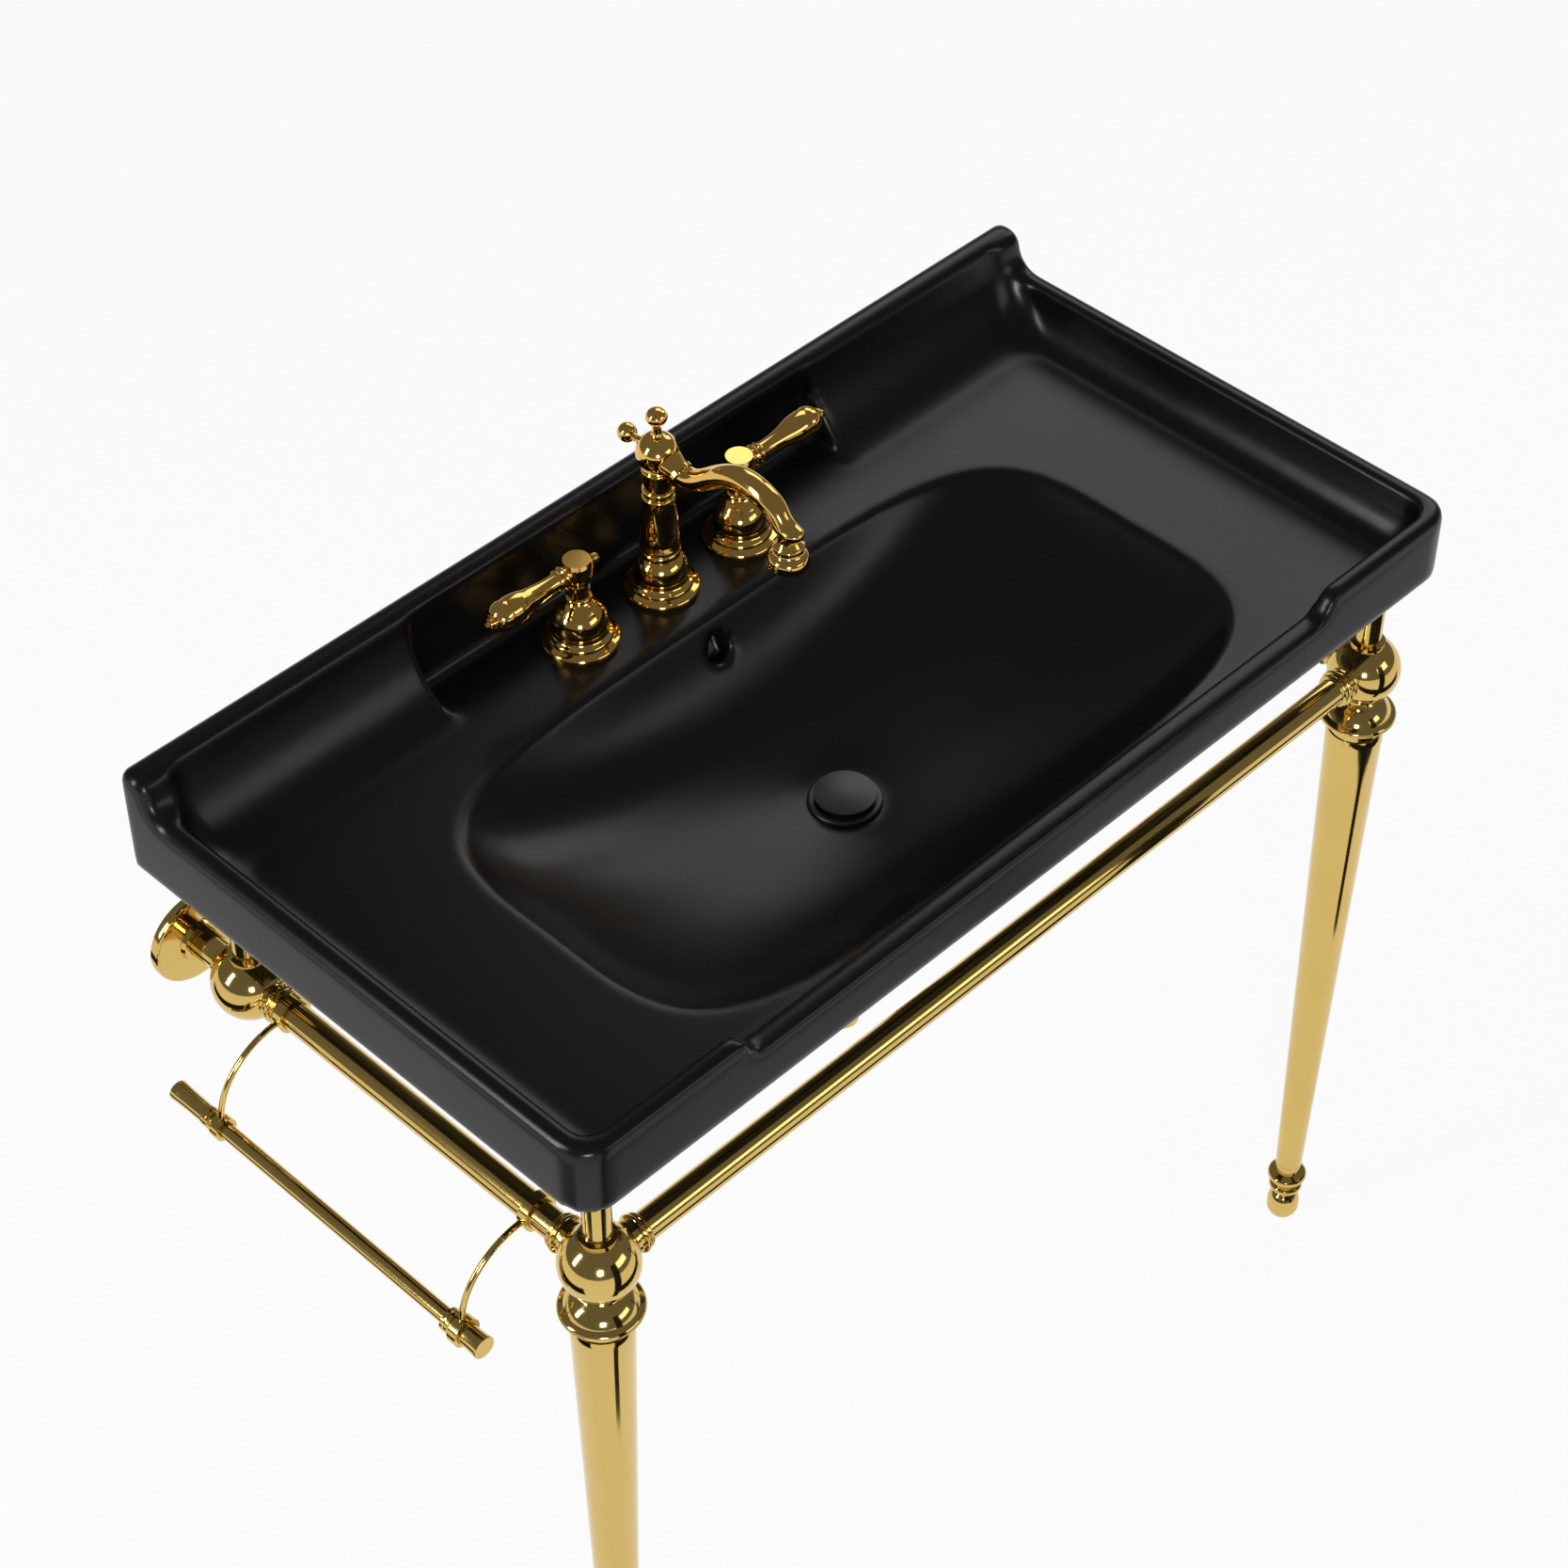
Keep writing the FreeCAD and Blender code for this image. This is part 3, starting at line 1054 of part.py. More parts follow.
def rail_end():
    """One end of a rail, from its spigot to the plain tube."""
    return [
        ("spigot_r", "joint_flat - spigot_l"),
        ("spigot_r", "joint_flat"),
        ("collar_r", "joint_flat"),
        ("collar_r", "joint_flat + collar_r * 0.18"),
        ("collar_r * 0.9", "joint_flat + collar_r * 0.24"),
        ("collar_r * 0.9", "joint_flat + collar_r * 0.4"),
        ("collar_r * 1.06", "joint_flat + collar_r * 0.46"),
        ("collar_r * 1.06", "joint_flat + collar_r * 0.68", "collar_r * 0.13", OUT),
        ("collar_r * 0.9", "joint_flat + collar_r * 0.74"),
        ("collar_r * 0.98", "joint_flat + collar_r * 0.8"),
        ("collar_r * 0.98", "joint_flat + collar_r * 0.98", "collar_r * 0.11", OUT),
        ("rail_r", "joint_flat + collar_r * 1.06"),
    ]


def both_ends(rows, length):
    """A run of corners from one end of a bar, and the same run back from the other."""
    back = []
    for index in range(len(rows) - 1, -1, -1):
        radius, along = rows[index][:2]
        arc = rows[index + 1][2:] if index + 1 < len(rows) else ()
        back.append((radius, "%s - (%s)" % (length, along)) + tuple(arc))
    return rows + back


def rail_profile(length):
    """A rail between two ball joints, with the same collars at both ends."""
    tip = "joint_flat - spigot_l"
    return [("0", tip)] + both_ends(rail_end(), length) + [("0", "%s - (%s)" % (length, tip))]


def make_joint(name, across, back, sockets):
    """A ball joint with a flat and a socket for each tube that it takes."""
    tools = []
    for number, turn in enumerate(sockets):
        way = turn.multVec(Vector(0, 0, 1))
        for kind, radius, start in (("flat", "joint_r", "joint_flat"), ("socket", "spigot_r + fit_gap",
                                                                      "joint_flat - spigot_l - fit_gap")):
            where = ["(%s) * %d" % (start, round(part)) for part in way]
            tools.append(cylinder("%s_%s_%d" % (name, kind, number), radius, "joint_r", *where, turn=turn))
    joint = cut(name, ball(name + "_sphere", "joint_r"), tools)
    keep(place(joint, across, back, RAIL_Z), name)


def make_rails():
    front = WALL + " - rail_front"
    rear = WALL + " - rail_rear"
    for side, across, inward in (("left", "-rail_x", TO_RIGHT), ("right", "rail_x", TO_LEFT)):
        make_joint(side + "_front_joint", across, front, (UPRIGHT, DOWN, TO_WALL, inward))
        make_joint(side + "_rear_joint", across, rear, (UPRIGHT, TO_FRONT, TO_WALL))
        keep(turned(side + "_side_rail", rail_profile("(rail_front - rail_rear)"), across, front, RAIL_Z,
                    turn=TO_WALL), side + "_side_rail")
        make_wall_tube(side, across, rear)
    keep(turned("front_rail", rail_profile("(rail_x * 2)"), "-rail_x", front, RAIL_Z, turn=TO_RIGHT), "front_rail")


def make_wall_tube(side, across, rear):
    """The tube from a rear ball joint to the wall, and the cover over its plate."""
    reach = "(rail_rear - wall_plate_t)"
    keep(turned(side + "_wall_tube", (
        ("0", "joint_flat - spigot_l"),
        ("spigot_r", "joint_flat - spigot_l"),
        ("spigot_r", "joint_flat"),
        ("collar_r", "joint_flat"),
        ("collar_r", "joint_flat + collar_r * 0.2"),
        ("stub_r", "joint_flat + collar_r * 0.3"),
        ("stub_r", reach),
        ("0", reach),
    ), across, rear, RAIL_Z, turn=TO_WALL), side + "_wall_tube")
    keep(turned(side + "_wall_cover", (
        ("wall_cover_r * 0.94", "0"),
        ("wall_cover_r", "0"),
        ("wall_cover_r", "wall_cover_t * 0.6"),
        ("wall_cover_r * 0.95", "wall_cover_t * 0.8", "wall_cover_t * 0.3", OUT),
        ("stub_r * 1.45", "wall_cover_t"),
        ("stub_r * 1.35", "wall_cover_t * 1.4"),
        ("stub_r + fit_gap", "wall_cover_t * 1.4"),
        ("stub_r + fit_gap", "wall_cover_t * 0.8"),
        ("wall_cover_r * 0.94", "wall_cover_t * 0.6"),
    ), across, WALL, RAIL_Z, turn=TO_FRONT), side + "_wall_cover")


def make_wall_plates():
    """The screwed plates that the wall tubes are fixed to, hidden by the covers."""
    plates = []
    for side, across in (("left", "-rail_x"), ("right", "rail_x")):
        disc = cylinder(side + "_plate_disc", "wall_plate_r", "wall_plate_t")
        holes = []
        for number in range(WALL_HOLES):
            spin = math.radians(90 + 360 * number / WALL_HOLES)
            holes.append(cylinder("%s_plate_hole_%d" % (side, number), "wall_hole_r",
                                  "wall_plate_t + overrun * 2", "wall_hole_pcd / 2 * %.6f" % math.cos(spin),
                                  "wall_hole_pcd / 2 * %.6f" % math.sin(spin), "-overrun"))
        plates.append(place(cut(side + "_plate", disc, holes), across, WALL, RAIL_Z, turn=TO_FRONT))
    keep(group("wall_plates", plates), "wall_plates")


WALL_HOLES = 3


def make_posts():
    """The posts and rubber pads that carry the basin on the ball joints."""
    posts, pads = [], []
    for back in ("rail_front", "rail_rear"):
        for side, across in (("left", "-rail_x"), ("right", "rail_x")):
            name = "%s_%s" % (side, back)
            posts.append(turned(name + "_post", (
                ("0", "joint_flat - spigot_l"),
                ("spigot_r", "joint_flat - spigot_l"),
                ("spigot_r", "joint_flat"),
                ("collar_r", "joint_flat"),
                ("collar_r", "joint_flat + collar_r * 0.3"),
                ("post_r", "joint_flat + collar_r * 0.4"),
                ("post_r", "rail_drop - pad_t - post_r"),
                ("post_r * 1.25", "rail_drop - pad_t - post_r"),
                ("post_r * 1.25", "rail_drop - pad_t - post_r * 0.5", "post_r * 0.3", OUT),
                ("post_flange_r", "rail_drop - pad_t - post_r * 0.4"),
                ("post_flange_r", "rail_drop - pad_t"),
                ("0", "rail_drop - pad_t"),
            ), across, WALL + " - " + back, RAIL_Z))
            pads.append(cylinder(name + "_pad", "post_flange_r", "pad_t", across, WALL + " - " + back,
                                 "apron_z - pad_t"))
    keep(group("support_posts", posts), "support_posts")
    keep(group("support_pads", pads), "support_pads")


def make_leg(side, across):
    """A front leg: collar under the ball joint, tapered leg and turned foot."""
    front = WALL + " - rail_front"
    top = "(apron_z - rail_drop - joint_flat)"
    keep(turned(side + "_leg_collar", (
        ("spigot_r + fit_gap", "-bell_h"),
        ("leg_top_r * 0.93", "-bell_h"),
        ("leg_top_r * 0.93", "-bell_h * 0.86"),
        ("bell_r * 0.82", "-bell_h * 0.8"),
        ("bell_r", "-bell_h * 0.66", "bell_h * 0.22", IN),
        ("bell_r", "-bell_h * 0.5", "bell_h * 0.09", OUT),
        ("bell_r * 0.9", "-bell_h * 0.46"),
        ("bell_r * 0.62", "-bell_h * 0.2", "bell_h * 0.6", OUT),
        ("collar_r * 1.08", "-bell_h * 0.14"),
        ("collar_r", "-bell_h * 0.1"),
        ("collar_r", "0"),
        ("spigot_r + fit_gap", "0"),
    ), across, front, top), side + "_leg_collar")
    keep(turned(side + "_leg", (
        ("0", "foot_h + fit_gap"),
        ("ankle_r", "foot_h + fit_gap"),
        ("ankle_r * 1.03", "foot_h + ankle_r"),
        ("leg_top_r", top + " - bell_h - leg_top_r * 0.3"),
        ("leg_top_r * 0.97", top + " - bell_h - fit_gap", "leg_top_r * 1.2", OUT),
        ("spigot_r", top + " - bell_h - fit_gap"),
        ("spigot_r", top + " + spigot_l"),
        ("0", top + " + spigot_l"),
    ), across, front, "0"), side + "_leg")
    keep(turned(side + "_foot", (
        ("0", "0"),
        ("foot_r * 0.6", "0"),
        ("foot_r", "foot_h * 0.22", "foot_r * 1.1", OUT),
        ("foot_r * 0.62", "foot_h * 0.42", "foot_r * 1.1", OUT),
        ("foot_r * 0.56", "foot_h * 0.5", "foot_h * 0.12", IN),
        ("foot_r * 0.95", "foot_h * 0.52"),
        ("foot_r * 0.95", "foot_h * 0.6", "foot_h * 0.05", OUT),
        ("foot_r * 0.78", "foot_h * 0.62"),
        ("foot_r * 0.78", "foot_h * 0.7"),
        ("foot_r * 1.1", "foot_h * 0.72"),
        ("foot_r * 1.1", "foot_h * 0.82", "foot_h * 0.06", OUT),
        ("ankle_r * 0.95", "foot_h * 0.86"),
        ("ankle_r", "foot_h"),
        ("0", "foot_h"),
    ), across, front, "0"), side + "_foot")


def make_towel_bar(side, sign):
    """A towel bar below and outside a side rail, on two curved arms."""
    across = sign + "(rail_x + bar_out)"
    length = "(bar_front - bar_rear)"
    rows = [
        ("bar_r", "0"),
        ("bar_sleeve_r * 0.8", "bar_sleeve_l * 0.03"),
        ("bar_sleeve_r", "bar_sleeve_l * 0.1", "bar_sleeve_l * 0.12", OUT),
        ("bar_sleeve_r * 1.15", "bar_sleeve_l * 0.16"),
        ("bar_sleeve_r * 1.15", "bar_sleeve_l * 0.22", "bar_sleeve_l * 0.05", OUT),
        ("bar_sleeve_r", "bar_sleeve_l * 0.26"),
        ("bar_sleeve_r", "bar_sleeve_l * 0.9"),
        ("bar_sleeve_r * 1.15", "bar_sleeve_l * 0.92"),
        ("bar_sleeve_r * 1.15", "bar_sleeve_l", "bar_sleeve_l * 0.05", OUT),
        ("bar_r", "bar_sleeve_l * 1.02"),
    ]
    bar = turned(side + "_towel_bar", [("0", "0")] + both_ends(rows, length) + [("0", length)],
                 across, WALL + " - bar_front", RAIL_Z + " - bar_drop", turn=TO_WALL)
    keep(bar, side + "_towel_bar")
    arms = []
    for name, back, bore in (("front", "arm_front", "bar_sleeve_r"), ("rear", "arm_rear", "bar_r")):
        arms.append(make_arm("%s_%s_arm" % (side, name), sign, WALL + " - " + back, bore))
    keep(group(side + "_towel_arms", arms), side + "_towel_arms")


def make_arm(name, sign, back, bar_bore):
    """One arm: a ring on the rail, a quarter bend, and a ring on the bar."""
    rings = []
    holes = []
    for which, bore, across, up in (("rail", "rail_r", "rail_x", RAIL_Z),
                                    ("bar", bar_bore, "(rail_x + bar_out)", RAIL_Z + " - bar_drop")):
        rings.append(cylinder("%s_%s_ring" % (name, which), bore + " + fit_gap + arm_ring_t", "arm_ring_w",
                              sign + across, back + " - arm_ring_w / 2", up, turn=TO_WALL))
        holes.append(cylinder("%s_%s_bore" % (name, which), bore + " + fit_gap", "arm_ring_w + overrun * 2",
                              sign + across, back + " - arm_ring_w / 2 - overrun", up, turn=TO_WALL))
    way = -1 if sign == "-" else 1
    along = mm(back)
    start = Vector(way * mm("rail_x + rail_r"), along, mm(RAIL_Z))
    low = Vector(way * mm("rail_x + bar_out"), along, mm(RAIL_Z + " - bar_drop + " + bar_bore))
    bend = min(low.x * way - start.x * way, start.z - low.z)
    corner = Vector(low.x, along, start.z)
    first = corner - Vector(way * bend, 0, 0)
    last = corner - Vector(0, 0, bend)
    middle = corner - Vector(way, 0, 1) * (bend * (1 - math.sqrt(0.5)))
    edges = [Part.Arc(first, middle, last).toShape()]
    if (first - start).Length > mm("fit_gap"):
        edges.insert(0, Part.LineSegment(start, first).toShape())
    if (last - low).Length > mm("fit_gap"):
        edges.append(Part.LineSegment(last, low).toShape())
    section = Part.Wire(Part.Circle(start, Vector(1, 0, 0), mm("arm_r")).toShape())
    rod = shaped(name + "_rod", Part.Wire(edges).makePipeShell([section], True, False))
    return cut(name, fused(name + "_whole", rings + [rod]), holes)


def make_all():
    """Builds the sub-parts one after another."""
    make_basin()
    for side, sign, out, back in (("left", "-", TO_LEFT, TO_RIGHT), ("right", "", TO_RIGHT, TO_LEFT)):
        across = sign + "tap_half"
        make_valve(side, across)
        make_foot(side, across)
        make_hub(side, across, out, back)
        make_lever(side, across, out, sign or "+")
        make_leg(side, sign + "rail_x")
        make_towel_bar(side, sign)
    make_spout()
    make_deck_fixings()
    make_drain()
    make_stopper()
    make_pivot()
    make_lift()
    make_rails()
    make_wall_plates()
    make_posts()


def write_out():
    """Checks the whole document and writes each sub-part to its own file."""
    doc.recompute()
    for item in doc.Objects:
        if "Invalid" in item.State or "Error" in item.State:
            raise RuntimeError("%s did not build: %s" % (item.Label, item.State))
    os.makedirs("parts", exist_ok=True)
    for piece in kept:
        shape = piece.Shape
        if shape.isNull() or not shape.isValid() or not shape.Solids:
            raise RuntimeError("%s has no valid solid" % piece.Label)
        shape.exportStep("parts/%s.step" % piece.Label)
    print(len(kept), "sub-parts")


make_all()
write_out()
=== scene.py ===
import json
import math
import bmesh
import bpy
from mathutils import Matrix, Vector


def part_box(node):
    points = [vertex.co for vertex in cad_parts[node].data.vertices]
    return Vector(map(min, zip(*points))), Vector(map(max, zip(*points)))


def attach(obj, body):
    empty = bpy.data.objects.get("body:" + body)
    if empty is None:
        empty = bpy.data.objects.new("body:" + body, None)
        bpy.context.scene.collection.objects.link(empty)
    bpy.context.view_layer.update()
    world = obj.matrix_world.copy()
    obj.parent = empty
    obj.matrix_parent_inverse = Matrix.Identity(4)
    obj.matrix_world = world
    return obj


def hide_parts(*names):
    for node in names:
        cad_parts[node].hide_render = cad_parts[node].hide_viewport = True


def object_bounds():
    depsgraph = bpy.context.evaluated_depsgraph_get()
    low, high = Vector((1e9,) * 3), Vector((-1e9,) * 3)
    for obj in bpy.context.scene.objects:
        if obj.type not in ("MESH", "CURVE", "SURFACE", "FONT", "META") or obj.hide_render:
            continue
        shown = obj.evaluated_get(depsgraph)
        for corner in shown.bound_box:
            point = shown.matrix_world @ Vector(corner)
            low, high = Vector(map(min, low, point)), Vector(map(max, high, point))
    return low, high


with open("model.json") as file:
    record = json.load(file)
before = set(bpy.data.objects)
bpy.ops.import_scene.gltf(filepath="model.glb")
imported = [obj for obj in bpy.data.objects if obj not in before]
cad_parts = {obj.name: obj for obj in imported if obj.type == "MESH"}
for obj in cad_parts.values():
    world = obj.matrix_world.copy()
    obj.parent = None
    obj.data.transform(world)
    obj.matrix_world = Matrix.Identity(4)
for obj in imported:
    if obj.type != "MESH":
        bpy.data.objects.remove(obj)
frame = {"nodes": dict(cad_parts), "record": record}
cad_low, cad_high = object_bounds()

WELD = 0.00001


# Camera

def set_camera():
    data = bpy.data.cameras.new("camera")
    data.lens = 83.52
    data.sensor_width = 36.0
    camera = bpy.data.objects.new("camera", data)
    bpy.context.scene.collection.objects.link(camera)
    azimuth, elevation, roll = math.radians(-45.55), math.radians(44.32), math.radians(0.07)
    back = Vector((math.sin(azimuth) * math.cos(elevation), -math.cos(azimuth) * math.cos(elevation),
                   math.sin(elevation)))
    turn = (-back).to_track_quat("-Z", "Y").to_matrix() @ Matrix.Rotation(roll, 3, "Z")
    camera.matrix_world = Matrix.Translation((-1.5596, -1.4916, 2.8771)) @ turn.to_4x4()
    bpy.context.scene.camera = camera


# Studio

UNDER_RIM = Vector((0, 0, 0.8))
RIM = Vector((0, 0, 0.9))
ROOM_GREY = 0.17
FLOOR_TONE = 0.85
FLOOR_GLOW = 0.93


def softbox(name, place, aim, width, height, power):
    """A soft lamp that faces aim."""
    data = bpy.data.lights.new(name, "AREA")
    data.shape = "RECTANGLE"
    data.size = width
    data.size_y = height
    data.energy = power
    lamp = bpy.data.objects.new(name, data)
    bpy.context.scene.collection.objects.link(lamp)
    direction = aim - Vector(place)
    lamp.matrix_world = Matrix.Translation(place) @ direction.to_track_quat("-Z", "Y").to_matrix().to_4x4()


def set_studio():
    scene = bpy.context.scene
    scene.view_settings.view_transform = "Standard"
    world = bpy.data.worlds.new("studio")
    world.use_nodes = True
    tree = world.node_tree
    tree.nodes.clear()
    out = tree.nodes.new("ShaderNodeOutputWorld")
    mix = tree.nodes.new("ShaderNodeMixShader")
    path = tree.nodes.new("ShaderNodeLightPath")
    room = tree.nodes.new("ShaderNodeBackground")
    room.inputs["Color"].default_value = (ROOM_GREY, ROOM_GREY, ROOM_GREY, 1)
    white = tree.nodes.new("ShaderNodeBackground")
    white.inputs["Color"].default_value = (1, 1, 1, 1)
    tree.links.new(path.outputs["Is Camera Ray"], mix.inputs["Fac"])
    tree.links.new(room.outputs[0], mix.inputs[1])
    tree.links.new(white.outputs[0], mix.inputs[2])
    tree.links.new(mix.outputs[0], out.inputs["Surface"])
    scene.world = world
    softbox("left_softbox", (-2.6, 0.9, 2.0), UNDER_RIM, 0.4, 1.5, 38)
    softbox("right_softbox", (2.4, 0.4, 2.3), UNDER_RIM, 0.8, 1.3, 7)
    softbox("front_softbox", (0.9, -2.7, 1.9), UNDER_RIM, 1.8, 0.8, 10)
    softbox("back_softbox", (2.35, 1.7, 3.0), RIM, 1.5, 1.5, 13)
    softbox("near_softbox", (-2.1, -2.2, 1.7), UNDER_RIM, 0.6, 0.6, 36)


def floor_material():
    finish = bpy.data.materials.new("pale_floor")
    finish.use_nodes = True
    tree = finish.node_tree
    tree.nodes.clear()
    out = tree.nodes.new("ShaderNodeOutputMaterial")
    matt = tree.nodes.new("ShaderNodeBsdfDiffuse")
    matt.inputs["Color"].default_value = (FLOOR_TONE, FLOOR_TONE, FLOOR_TONE, 1)
    glow = tree.nodes.new("ShaderNodeEmission")
    glow.inputs["Color"].default_value = (1, 1, 1, 1)
    path = tree.nodes.new("ShaderNodeLightPath")
    seen = tree.nodes.new("ShaderNodeMath")
    seen.operation = "MAXIMUM"
    part = tree.nodes.new("ShaderNodeMath")
    part.operation = "MULTIPLY"
    part.inputs[1].default_value = FLOOR_GLOW
    mix = tree.nodes.new("ShaderNodeMixShader")
    tree.links.new(path.outputs["Is Camera Ray"], seen.inputs[0])
    tree.links.new(path.outputs["Is Glossy Ray"], seen.inputs[1])
    tree.links.new(seen.outputs[0], part.inputs[0])
    tree.links.new(part.outputs[0], mix.inputs["Fac"])
    tree.links.new(matt.outputs[0], mix.inputs[1])
    tree.links.new(glow.outputs[0], mix.inputs[2])
    tree.links.new(mix.outputs[0], out.inputs["Surface"])
    return finish


def set_floor():
    mesh = bpy.data.meshes.new("floor")
    form = bmesh.new()
    bmesh.ops.create_grid(form, x_segments=2, y_segments=2, size=80)
    form.to_mesh(mesh)
    form.free()
    floor = bpy.data.objects.new("floor", mesh)
    mesh.materials.append(floor_material())
    bpy.context.scene.collection.objects.link(floor)
    floor.location.z = cad_low.z - 0.0005


def dark_card(name, place, turn, width, height):
    """A black card that only reflections see: it draws the dark stripes along the polished tubes."""
    form = bmesh.new()
    bmesh.ops.create_grid(form, x_segments=1, y_segments=1, size=0.5)
    bmesh.ops.scale(form, vec=(width, height, 1), verts=form.verts)
    bmesh.ops.rotate(form, cent=(0, 0, 0), matrix=Matrix.Rotation(math.radians(90), 3, "X"), verts=form.verts)
    bmesh.ops.rotate(form, cent=(0, 0, 0), matrix=Matrix.Rotation(math.radians(turn), 3, "Z"), verts=form.verts)
    mesh = bpy.data.meshes.new(name)
    form.to_mesh(mesh)
    form.free()
    card = bpy.data.objects.new(name, mesh)
    black = bpy.data.materials.new(name)
    black.use_nodes = True
    black.node_tree.nodes["Principled BSDF"].inputs["Base Color"].default_value = (0.01, 0.01, 0.01, 1)
    black.node_tree.nodes["Principled BSDF"].inputs["Roughness"].default_value = 1.0
    mesh.materials.append(black)
    bpy.context.scene.collection.objects.link(card)
    card.location = place
    card.visible_camera = False
    card.visible_diffuse = False
    card.visible_shadow = False


def set_cards():
    """Two narrow cards stripe the legs, and two low walls keep the basin's outer faces dark."""
    dark_card("left_card", (-0.46, -0.62, 0.5), 0, 0.12, 1.0)
    dark_card("right_card", (0.46, -0.62, 0.5), 0, 0.12, 1.0)
    dark_card("front_wall", (0.35, -0.66, 0.33), 0, 1.7, 0.28)
    dark_card("side_wall", (-0.92, 0.35, 0.33), 90, 1.3, 0.28)


# Finishes

def new_finish(name):
    finish = bpy.data.materials.new(name)
    finish.use_nodes = True
    tree = finish.node_tree
    surface = tree.nodes["Principled BSDF"]
    place = tree.nodes.new("ShaderNodeTexCoord")
    return finish, tree, surface, place


def noise(tree, place, scale, detail=3.0):
    grain = tree.nodes.new("ShaderNodeTexNoise")
    grain.inputs["Scale"].default_value = scale
    grain.inputs["Detail"].default_value = detail
    tree.links.new(place.outputs["Object"], grain.inputs["Vector"])
    return grain


def ramp(tree, source, low, high):
    scale = tree.nodes.new("ShaderNodeMapRange")
    scale.inputs["To Min"].default_value = low
    scale.inputs["To Max"].default_value = high
    tree.links.new(source, scale.inputs["Value"])
    return scale.outputs["Result"]


def bump(tree, surface, source, strength, distance):
    relief = tree.nodes.new("ShaderNodeBump")
    relief.inputs["Strength"].default_value = strength
    relief.inputs["Distance"].default_value = distance
    tree.links.new(source, relief.inputs["Height"])
    tree.links.new(relief.outputs["Normal"], surface.inputs["Normal"])


def black_glaze():
    finish, tree, surface, place = new_finish("black_glaze")
    surface.inputs["Base Color"].default_value = (0.004, 0.004, 0.0042, 1)
    surface.inputs["IOR"].default_value = 1.5
    surface.inputs["Specular IOR Level"].default_value = 0.27
    waves = noise(tree, place, 9.0, 2.0)
    tree.links.new(ramp(tree, waves.outputs["Fac"], 0.24, 0.3), surface.inputs["Roughness"])
    fine = noise(tree, place, 60.0, 2.0)
    bump(tree, surface, fine.outputs["Fac"], 0.05, 0.0004)
    return finish


def brass(name, deep, pale):
    finish, tree, surface, place = new_finish(name)
    surface.inputs["Metallic"].default_value = 1.0
    tint = tree.nodes.new("ShaderNodeMix")
    tint.data_type = "RGBA"
    tint.inputs["A"].default_value = deep
    tint.inputs["B"].default_value = pale
    cloud = noise(tree, place, 14.0)
    tree.links.new(cloud.outputs["Fac"], tint.inputs["Factor"])
    tree.links.new(tint.outputs["Result"], surface.inputs["Base Color"])
    wear = noise(tree, place, 35.0, 4.0)
    tree.links.new(ramp(tree, wear.outputs["Fac"], 0.06, 0.12), surface.inputs["Roughness"])
    return finish


def black_metal():
    finish, tree, surface, place = new_finish("black_metal")
    surface.inputs["Base Color"].default_value = (0.012, 0.012, 0.012, 1)
    grain = noise(tree, place, 300.0, 2.0)
    tree.links.new(ramp(tree, grain.outputs["Fac"], 0.3, 0.4), surface.inputs["Roughness"])
    return finish


def black_rubber():
    finish, tree, surface, place = new_finish("black_rubber")
    surface.inputs["Base Color"].default_value = (0.03, 0.03, 0.03, 1)
    grain = noise(tree, place, 500.0, 2.0)
    tree.links.new(ramp(tree, grain.outputs["Fac"], 0.6, 0.8), surface.inputs["Roughness"])
    bump(tree, surface, grain.outputs["Fac"], 0.1, 0.0002)
    return finish


# Smoothing of the nodes that stay

def smooth_group():
    group = bpy.data.node_groups.new("smooth_by_angle", "GeometryNodeTree")
    group.interface.new_socket("Geometry", in_out="INPUT", socket_type="NodeSocketGeometry")
    group.interface.new_socket("Geometry", in_out="OUTPUT", socket_type="NodeSocketGeometry")
    nodes, links = group.nodes, group.links
    start = nodes.new("NodeGroupInput")
    end = nodes.new("NodeGroupOutput")
    weld = nodes.new("GeometryNodeMergeByDistance")
    weld.inputs["Distance"].default_value = WELD
    faces = nodes.new("GeometryNodeSetShadeSmooth")
    faces.domain = "FACE"
    edges = nodes.new("GeometryNodeSetShadeSmooth")
    edges.domain = "EDGE"
    angle = nodes.new("GeometryNodeInputMeshEdgeAngle")
    flat = nodes.new("FunctionNodeCompare")
    flat.data_type = "FLOAT"
    flat.operation = "LESS_THAN"
    flat.inputs["B"].default_value = SMOOTH_BELOW
    links.new(start.outputs[0], weld.inputs["Geometry"])
    links.new(weld.outputs["Geometry"], faces.inputs["Geometry"])
    links.new(faces.outputs["Geometry"], edges.inputs["Geometry"])
    links.new(angle.outputs["Unsigned Angle"], flat.inputs["A"])
    links.new(flat.outputs["Result"], edges.inputs["Shade Smooth"])
    links.new(edges.outputs["Geometry"], end.inputs[0])
    return group


# Tap parts take a brighter, warmer copy of the same brass, which is painted light.
TAP_PARTS = ("tap_foot", "hub", "lever", "spout", "spout_foot", "spout_column", "spout_outlet", "rear_knob",
             "lift_rod")
SMOOTH_BELOW = math.radians(28)


def finish_nodes():
    # One brass in two copies: the taps' copy is painted lighter and warmer (painted light), and the stand's copy
    # is painted darker (painted shade).
    finishes = {"black_glaze": black_glaze(), "black_metal": black_metal(), "black_rubber": black_rubber(),
                "polished_brass": brass("polished_brass", (0.62, 0.43, 0.12, 1), (0.70, 0.50, 0.16, 1)),
                "tap_brass_painted_lit": brass("tap_brass_painted_lit", (0.72, 0.43, 0.10, 1), (0.80, 0.50, 0.14, 1))}
    group = smooth_group()
    for part in frame["record"]["subparts"]:
        piece = frame["nodes"][part["node"]]
        # Tap parts get the painted-light copy of the brass; the rest keep their slot's finish.
        slot = "tap_brass_painted_lit" if part["node"].endswith(TAP_PARTS) else part["material_slot"]
        for place in piece.material_slots:
            place.material = finishes[slot]
        piece.modifiers.new("smooth", "NODES").node_group = group
    return finishes, group


# Basin: the glaze rounds every edge of the fired clay

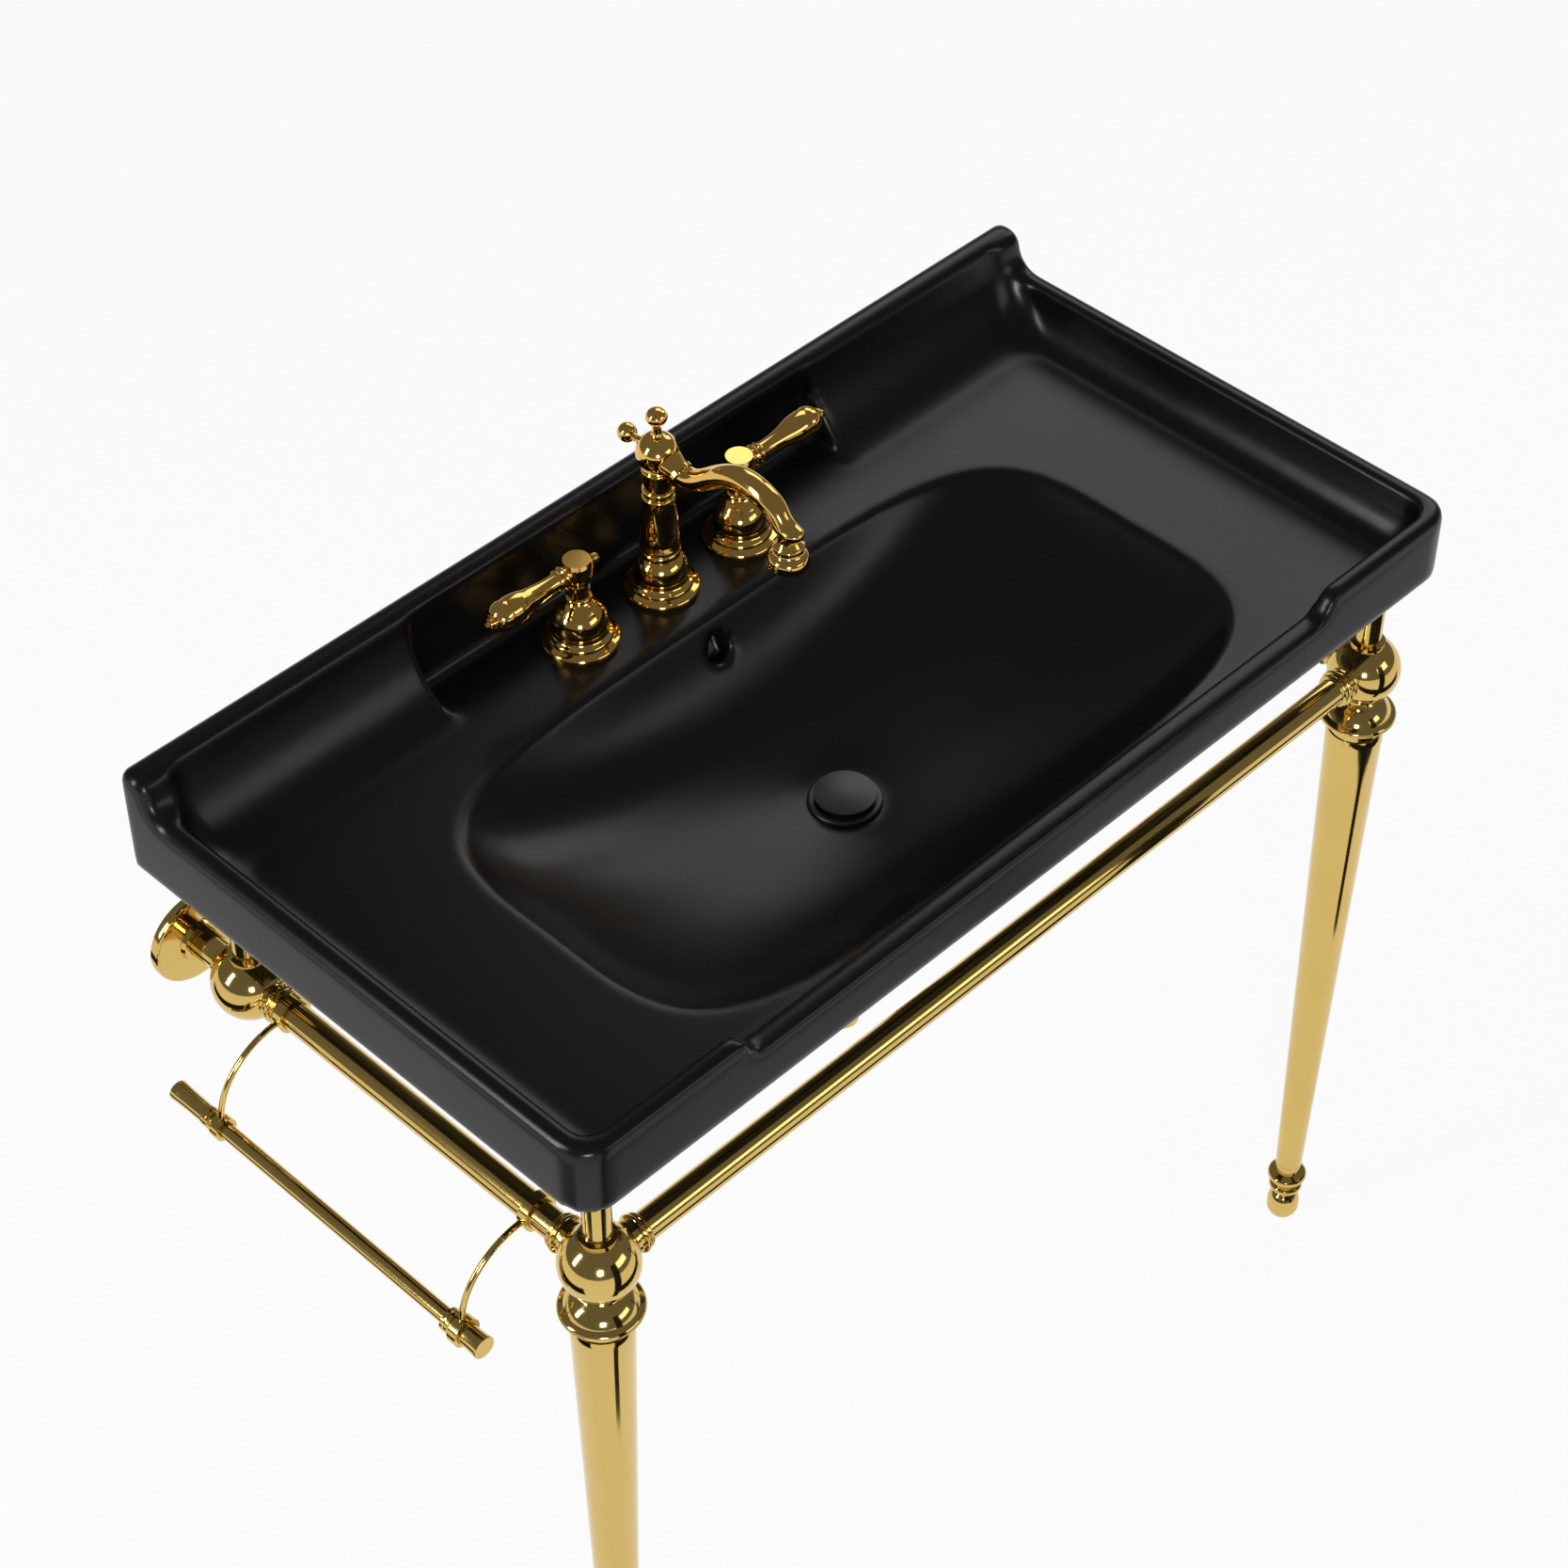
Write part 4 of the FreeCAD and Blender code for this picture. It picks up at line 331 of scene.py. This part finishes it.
def glazed_basin():
    form = bmesh.new()
    form.from_mesh(frame["nodes"]["basin"].data)
    bmesh.ops.remove_doubles(form, verts=form.verts, dist=WELD)
    mesh = bpy.data.meshes.new("glazed_basin")
    form.to_mesh(mesh)
    form.free()
    piece = bpy.data.objects.new("glazed_basin", mesh)
    bpy.context.scene.collection.objects.link(piece)
    clay = piece.modifiers.new("clay", "REMESH")
    clay.mode = "VOXEL"
    clay.voxel_size = 0.0042
    clay.use_smooth_shade = True
    glaze = piece.modifiers.new("glaze", "SMOOTH")
    glaze.factor = 0.5
    glaze.iterations = 5
    mesh.materials.clear()
    mesh.materials.append(finishes["black_glaze"])
    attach(piece, "stand")
    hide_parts("basin")


# Towel bars: a straight tube whose sleeves flare to flat ends

FRONT_SLEEVE = ((0, 0.0096), (0.001, 0.0101), (0.006, 0.0096), (0.016, 0.0093), (0.031, 0.0093), (0.032, 0.0102),
                (0.035, 0.0102), (0.036, 0.0094), (0.037, 0.0102), (0.040, 0.0102), (0.041, 0.0068))
REAR_SLEEVE = ((0.047, 0.0068), (0.046, 0.0086), (0.043, 0.0086), (0.042, 0.0080), (0.041, 0.0086),
               (0.038, 0.0086), (0.037, 0.0079), (0.018, 0.0081), (0.006, 0.0085), (0.001, 0.0090), (0, 0.0087))


def towel_bar(side):
    """A turned bar; each sleeve is a list of places from its own end and radii there."""
    low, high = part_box(side + "_towel_bar")
    middle = (low + high) / 2
    profile = [(low.y, 0)]
    profile += [(low.y + along, out) for along, out in FRONT_SLEEVE]
    profile += [(high.y - along, out) for along, out in REAR_SLEEVE]
    profile += [(high.y, 0)]
    form = bmesh.new()
    spots = [form.verts.new((middle.x + out, along, middle.z)) for along, out in profile]
    for first, second in zip(spots, spots[1:]):
        form.edges.new((first, second))
    bmesh.ops.spin(form, geom=form.verts[:] + form.edges[:], cent=(middle.x, 0, middle.z), axis=(0, 1, 0),
                   angle=math.tau, steps=48, use_merge=True)
    bmesh.ops.remove_doubles(form, verts=form.verts, dist=WELD)
    bmesh.ops.recalc_face_normals(form, faces=form.faces)
    mesh = bpy.data.meshes.new(side + "_bar")
    form.to_mesh(mesh)
    form.free()
    bar = bpy.data.objects.new(side + "_bar", mesh)
    bpy.context.scene.collection.objects.link(bar)
    mesh.materials.append(finishes["polished_brass"])
    bar.modifiers.new("smooth", "NODES").node_group = smooth
    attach(bar, "stand")
    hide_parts(side + "_towel_bar")


set_camera()
set_studio()
set_floor()
set_cards()
finishes, smooth = finish_nodes()
glazed_basin()
for side in ("left", "right"):
    towel_bar(side)
